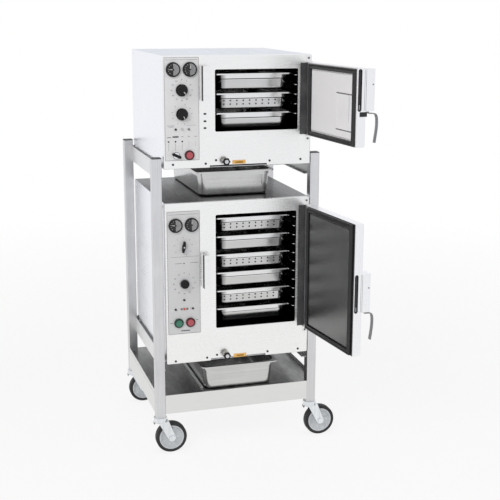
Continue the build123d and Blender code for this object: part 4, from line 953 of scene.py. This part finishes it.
def hung(unit):
    """An open door's frame on its hinge: x to the free edge, y outward and z up."""
    turn = radians(DOORS[unit][2])
    return Matrix((
        (-cos(turn), sin(turn), 0, HINGE_X * MM), (-sin(turn), -cos(turn), 0, HINGE_Y * MM),
        (0, 0, 1, 0), (0, 0, 0, 1)))


door_steel = brushed_steel("satin_door_steel", "#fafafb", "#f1f1f2", 0.3, "z", spacing=4.0, bump=0.02)
# The upper panel is painted pale and matt as painted light, and the lower one grey as painted shade.
lit_door_panel = brushed_steel(
    "painted_light_upper_door_panel", "#fdfbfc", "#f7f5f6", 0.45, "z", spacing=5.0, bump=0.0)
tune(lit_door_panel, "Metallic", 0.0)
shaded_door_panel = brushed_steel(
    "painted_shade_lower_door_panel", "#8f8f8f", "#7c7c7c", 0.34, "x", spacing=5.0, bump=0.0)
silicone = moulded("black_gasket_silicone", "#161617", "#242425", 0.42, grit=1.5)
# The strike's left flank is painted near black as painted shade; its front stays bright.
SHADED_FLANK_X = -147.5
hardware_steel = two_tone(
    "bent_strike_steel_painted_shade_flank", ("#141415", "#262627"), ("#f5f5f4", "#ebebea"),
    "X", SHADED_FLANK_X, 0.34, metals=(0.0, 1.0))
dress(door_steel, "upper_door_shell", "lower_door_shell", "upper_latch_housing", "lower_latch_housing")
dress(lit_door_panel, "upper_door_liner")
dress(shaded_door_panel, "lower_door_liner")
tune(hardware_steel, "Specular IOR Level", 0.1)
dress(hardware_steel, "door_hardware")

for unit, (bottom, top, _) in DOORS.items():
    height = top - bottom - GASKET_IN
    lip = block(GASKET_FARS[unit] - GASKET_NEAR, GASKET_SILL - GASKET_FACE, height)
    hollow_out(lip, along(y=1), GASKET_WIDTH)
    press(lip, toward(y=-1), (5, 0), (2, -3.5))
    round_edges(lip, 1.6 * MM, segments=3)
    lip.matrix_world = hung(unit) @ at(
        (GASKET_NEAR + GASKET_FARS[unit]) / 2, (GASKET_SILL + GASKET_FACE) / 2, (bottom + top) / 2)
    fit(lip, f"{unit}_lipped_gasket", silicone, f"{unit}_door")
    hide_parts(f"{unit}_door_gasket")

PANEL_X, PANEL_Z, PANEL_FACE = (252.0, 374.0), (1336.0, 1465.0), -14.5
crease_shadow_paint = moulded("painted_crease_shadow", "#565455", "#6a6869", 0.45)
panel_frame = block(PANEL_X[1] - PANEL_X[0], 1.2, PANEL_Z[1] - PANEL_Z[0])
press(panel_frame, toward(y=-1), (2.6, 0), (1.2, -0.9))
round_edges(panel_frame, 0.3 * MM)
panel_frame.matrix_world = hung("upper") @ at(sum(PANEL_X) / 2, PANEL_FACE, sum(PANEL_Z) / 2)
fit(panel_frame, "upper_door_pressed_panel", lit_door_panel, "upper_door")
# The dark lines above and below the pressed panel are painted shadow along its creases.
creases = []
for height in (PANEL_Z[1] + 1.5, PANEL_Z[0] - 1.5):
    crease = block(PANEL_X[1] - PANEL_X[0], 0.8, 4.0)
    press(crease, toward(y=-1), (0.5, 0.2))
    crease.matrix_world = hung("upper") @ at(sum(PANEL_X) / 2, PANEL_FACE - 0.2, height)
    creases.append(crease)
fit(join(creases), "upper_door_panel_creases", crease_shadow_paint, "upper_door")
rib = block(7, 1.6, PANEL_Z[1] - PANEL_Z[0])
press(rib, toward(y=-1), (1.6, 0.9))
rib.matrix_world = hung("upper") @ at(PANEL_X[1] - 18, PANEL_FACE - 0.6, sum(PANEL_Z) / 2)
fit(rib, "upper_door_pressed_rib", casing_steel, "upper_door")

STRIKE_FRONT = FRONT - 33.0
strike_spots = [(-133.5, STRIKE_FRONT, z) for z in (1535, 1443, 807, 711)]
fit(copies(screw, [at(*spot, TO_FRONT) for spot in strike_spots]),
    "strike_screws", hardware_steel, "stand")
STRIKES = {"upper": (1424.0, 1554.0), "lower": (692.0, 826.0)}
ROOT_X, ROOT_DEEP = -148.2, 12.0
for unit, (low, high) in STRIKES.items():
    root = block(0.5, ROOT_DEEP, high - low)
    press(root, toward(x=-1), (0.8, 0.1))
    root.location = Vector((ROOT_X, FRONT - ROOT_DEEP / 2, (low + high) / 2)) * MM
    fit(root, f"{unit}_strike_root", front_steel, "stand")
hinge_spots = [(HINGE_X, FRONT - 2.5, z) for z in (1578, 1266, 1018, 478)]
fit(copies(screw, [at(*spot, TO_FRONT) for spot in hinge_spots]),
    "hinge_screws", screw_steel, "stand")

# Latches: a boxed housing on each door, a black bolt bar in a slot of the free edge with its spring in
# a pocket, and a bent lever of flat bar. A small screw holds each housing.
bolt_black = moulded("black_oxide_bolt_steel", "#2a2a2b", "#3d3d3e", 0.4, grit=1.5)
tune(bolt_black, "Metallic", 0.6)
seam_dark = moulded("shaded_seam_steel", "#5c5c5d", "#747475", 0.5)
lever_steel = brushed_steel("flat_bar_lever_steel", "#9a9a9b", "#7c7c7d", 0.3, "z")
BOLT_DEEP, BOLT_THICK, BOLT_MIDDLE, BOLT_ROUND = 30.0, 15.0, 1.5, 7.2
EDGE = 400.3
SPRING_RADIUS, SPRING_WIRE, SPRING_TURNS, SPRING_LENGTH = 3.4, 0.7, 5, 17.0
SPRING_IN, SPRING_FOOT, POINTS_A_TURN = 2.3, 6.0, 10
SEAMS = (20.5, 26.5)
SCREW_X, SCREW_OUT, SCREW_DOWN = 398.0, 55.0, 55.0
LEVER_WIDTH, LEVER_THICK, LEVER_MIDDLE = 15.0, 4.0, 377.0
LEVER_ROUTE = (
    (44, 22), (45, -7), (52, -9), (66, -9), (79, -12), (85, -26), (85, -60), (81, -90), (77, -116))
SMALL_SCREW = 0.62
small_screw = copies(screw, [Matrix.Scale(SMALL_SCREW, 4)])


def from_curve(curve, place):
    """Makes a mesh of a curve at a turned place."""
    bent = bpy.data.objects.new(curve.name, curve)
    scene.collection.objects.link(bent)
    bent.matrix_world = place
    hold(bent)
    bpy.ops.object.convert(target="MESH")
    return bpy.context.object


for unit, (low, high) in LATCHES.items():
    frame_of_door = hung(unit)
    latch_bar = block(BOLT_DEEP, BOLT_THICK, high - low - 0.6)
    bpy.ops.object.mode_set(mode="EDIT")
    bpy.ops.mesh.select_all(action="DESELECT")
    bpy.ops.mesh.select_mode(type="EDGE")
    form = bmesh.from_edit_mesh(latch_bar.data)
    for edge in form.edges:
        run = edge.verts[0].co - edge.verts[1].co
        edge.select_set(abs(run.x) > abs(run.y) + abs(run.z))
    bmesh.update_edit_mesh(latch_bar.data)
    bpy.ops.mesh.bevel(offset=BOLT_ROUND * MM, segments=6, affect="EDGES")
    close_up()
    press(latch_bar, toward(x=1), (2.2, 0), (0.6, -2.2))
    latch_bar.matrix_world = frame_of_door @ at(EDGE - BOLT_DEEP / 2, BOLT_MIDDLE, (low + high) / 2)
    bar_piece = fit(latch_bar, f"{unit}_bolt_bar", bolt_black, f"{unit}_bolt")
    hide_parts(f"{unit}_latch_bolt")

    coil = bpy.data.curves.new("latch_spring", "CURVE")
    coil.dimensions = "3D"
    coil.bevel_depth = SPRING_WIRE * MM
    coil.bevel_resolution = 2
    wind = coil.splines.new("NURBS")
    steps = POINTS_A_TURN * SPRING_TURNS
    wind.points.add(steps)
    for i, point in enumerate(wind.points):
        phase = 2 * pi * i / POINTS_A_TURN
        point.co = (SPRING_RADIUS * cos(phase) * MM / 2, SPRING_RADIUS * sin(phase) * MM,
                    SPRING_LENGTH * i / steps * MM, 1)
    wind.order_u = 3
    wind.use_endpoint_u = True
    spring = from_curve(coil, frame_of_door @ at(EDGE - SPRING_IN, BOLT_MIDDLE, low + SPRING_FOOT))
    fit(spring, f"{unit}_latch_spring", zinc_plate, f"{unit}_bolt", angle=60)

    turns = [frame_of_door @ at(SCREW_X, SCREW_OUT, high - SCREW_DOWN, TO_RIGHT)]
    fit(copies(small_screw, turns), f"{unit}_latch_screw", screw_steel, f"{unit}_door")
    seams = []
    for out in SEAMS:
        seam = block(0.5, 1.1, high - low - 4)
        press(seam, toward(x=1), (0.2, 0.1))
        seam.matrix_world = frame_of_door @ at(EDGE - 0.3, out, (low + high) / 2)
        seams.append(seam)
    fit(join(seams), f"{unit}_latch_seams", seam_dark, f"{unit}_door")

    bend = bpy.data.curves.new("lever_bend", "CURVE")
    bend.dimensions = "2D"
    bend.fill_mode = "NONE"
    bend.extrude = LEVER_WIDTH / 2 * MM
    line = bend.splines.new("NURBS")
    line.points.add(len(LEVER_ROUTE) - 1)
    for point, (out, rise) in zip(line.points, LEVER_ROUTE):
        point.co = (out * MM, (low + rise) * MM, 0, 1)
    line.order_u = 3
    line.use_endpoint_u = True
    on_edge = Matrix(((0, 0, 1, LEVER_MIDDLE * MM), (1, 0, 0, 0), (0, 1, 0, 0), (0, 0, 0, 1)))
    lever = from_curve(bend, frame_of_door @ on_edge)
    wall = lever.modifiers.new("wall", "SOLIDIFY")
    wall.thickness = LEVER_THICK * MM
    wall.offset = 0
    bpy.ops.object.modifier_apply(modifier=wall.name)
    round_edges(lever, 0.9 * MM, angle=50)
    fit(lever, f"{unit}_bent_lever", lever_steel, f"{unit}_lever")
    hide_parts(f"{unit}_latch_lever")
bpy.data.objects.remove(small_screw)
bpy.data.objects.remove(screw)

GUIDE_MIDDLE = 17.0
guide = block(2.3, 30, 17)
press(guide, toward(x=1), (3, -0.2))
round_edges(guide, 0.2 * MM)
upper_low = LATCHES["upper"][0]
guide.matrix_world = hung("upper") @ at(EDGE - 1.15, GUIDE_MIDDLE, upper_low - 10)
fit(guide, "upper_bolt_guide", cap_plastic, "upper_door")

size = {"cad": [list(cad_low), list(cad_high)], "visual": [list(corner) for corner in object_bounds()]}
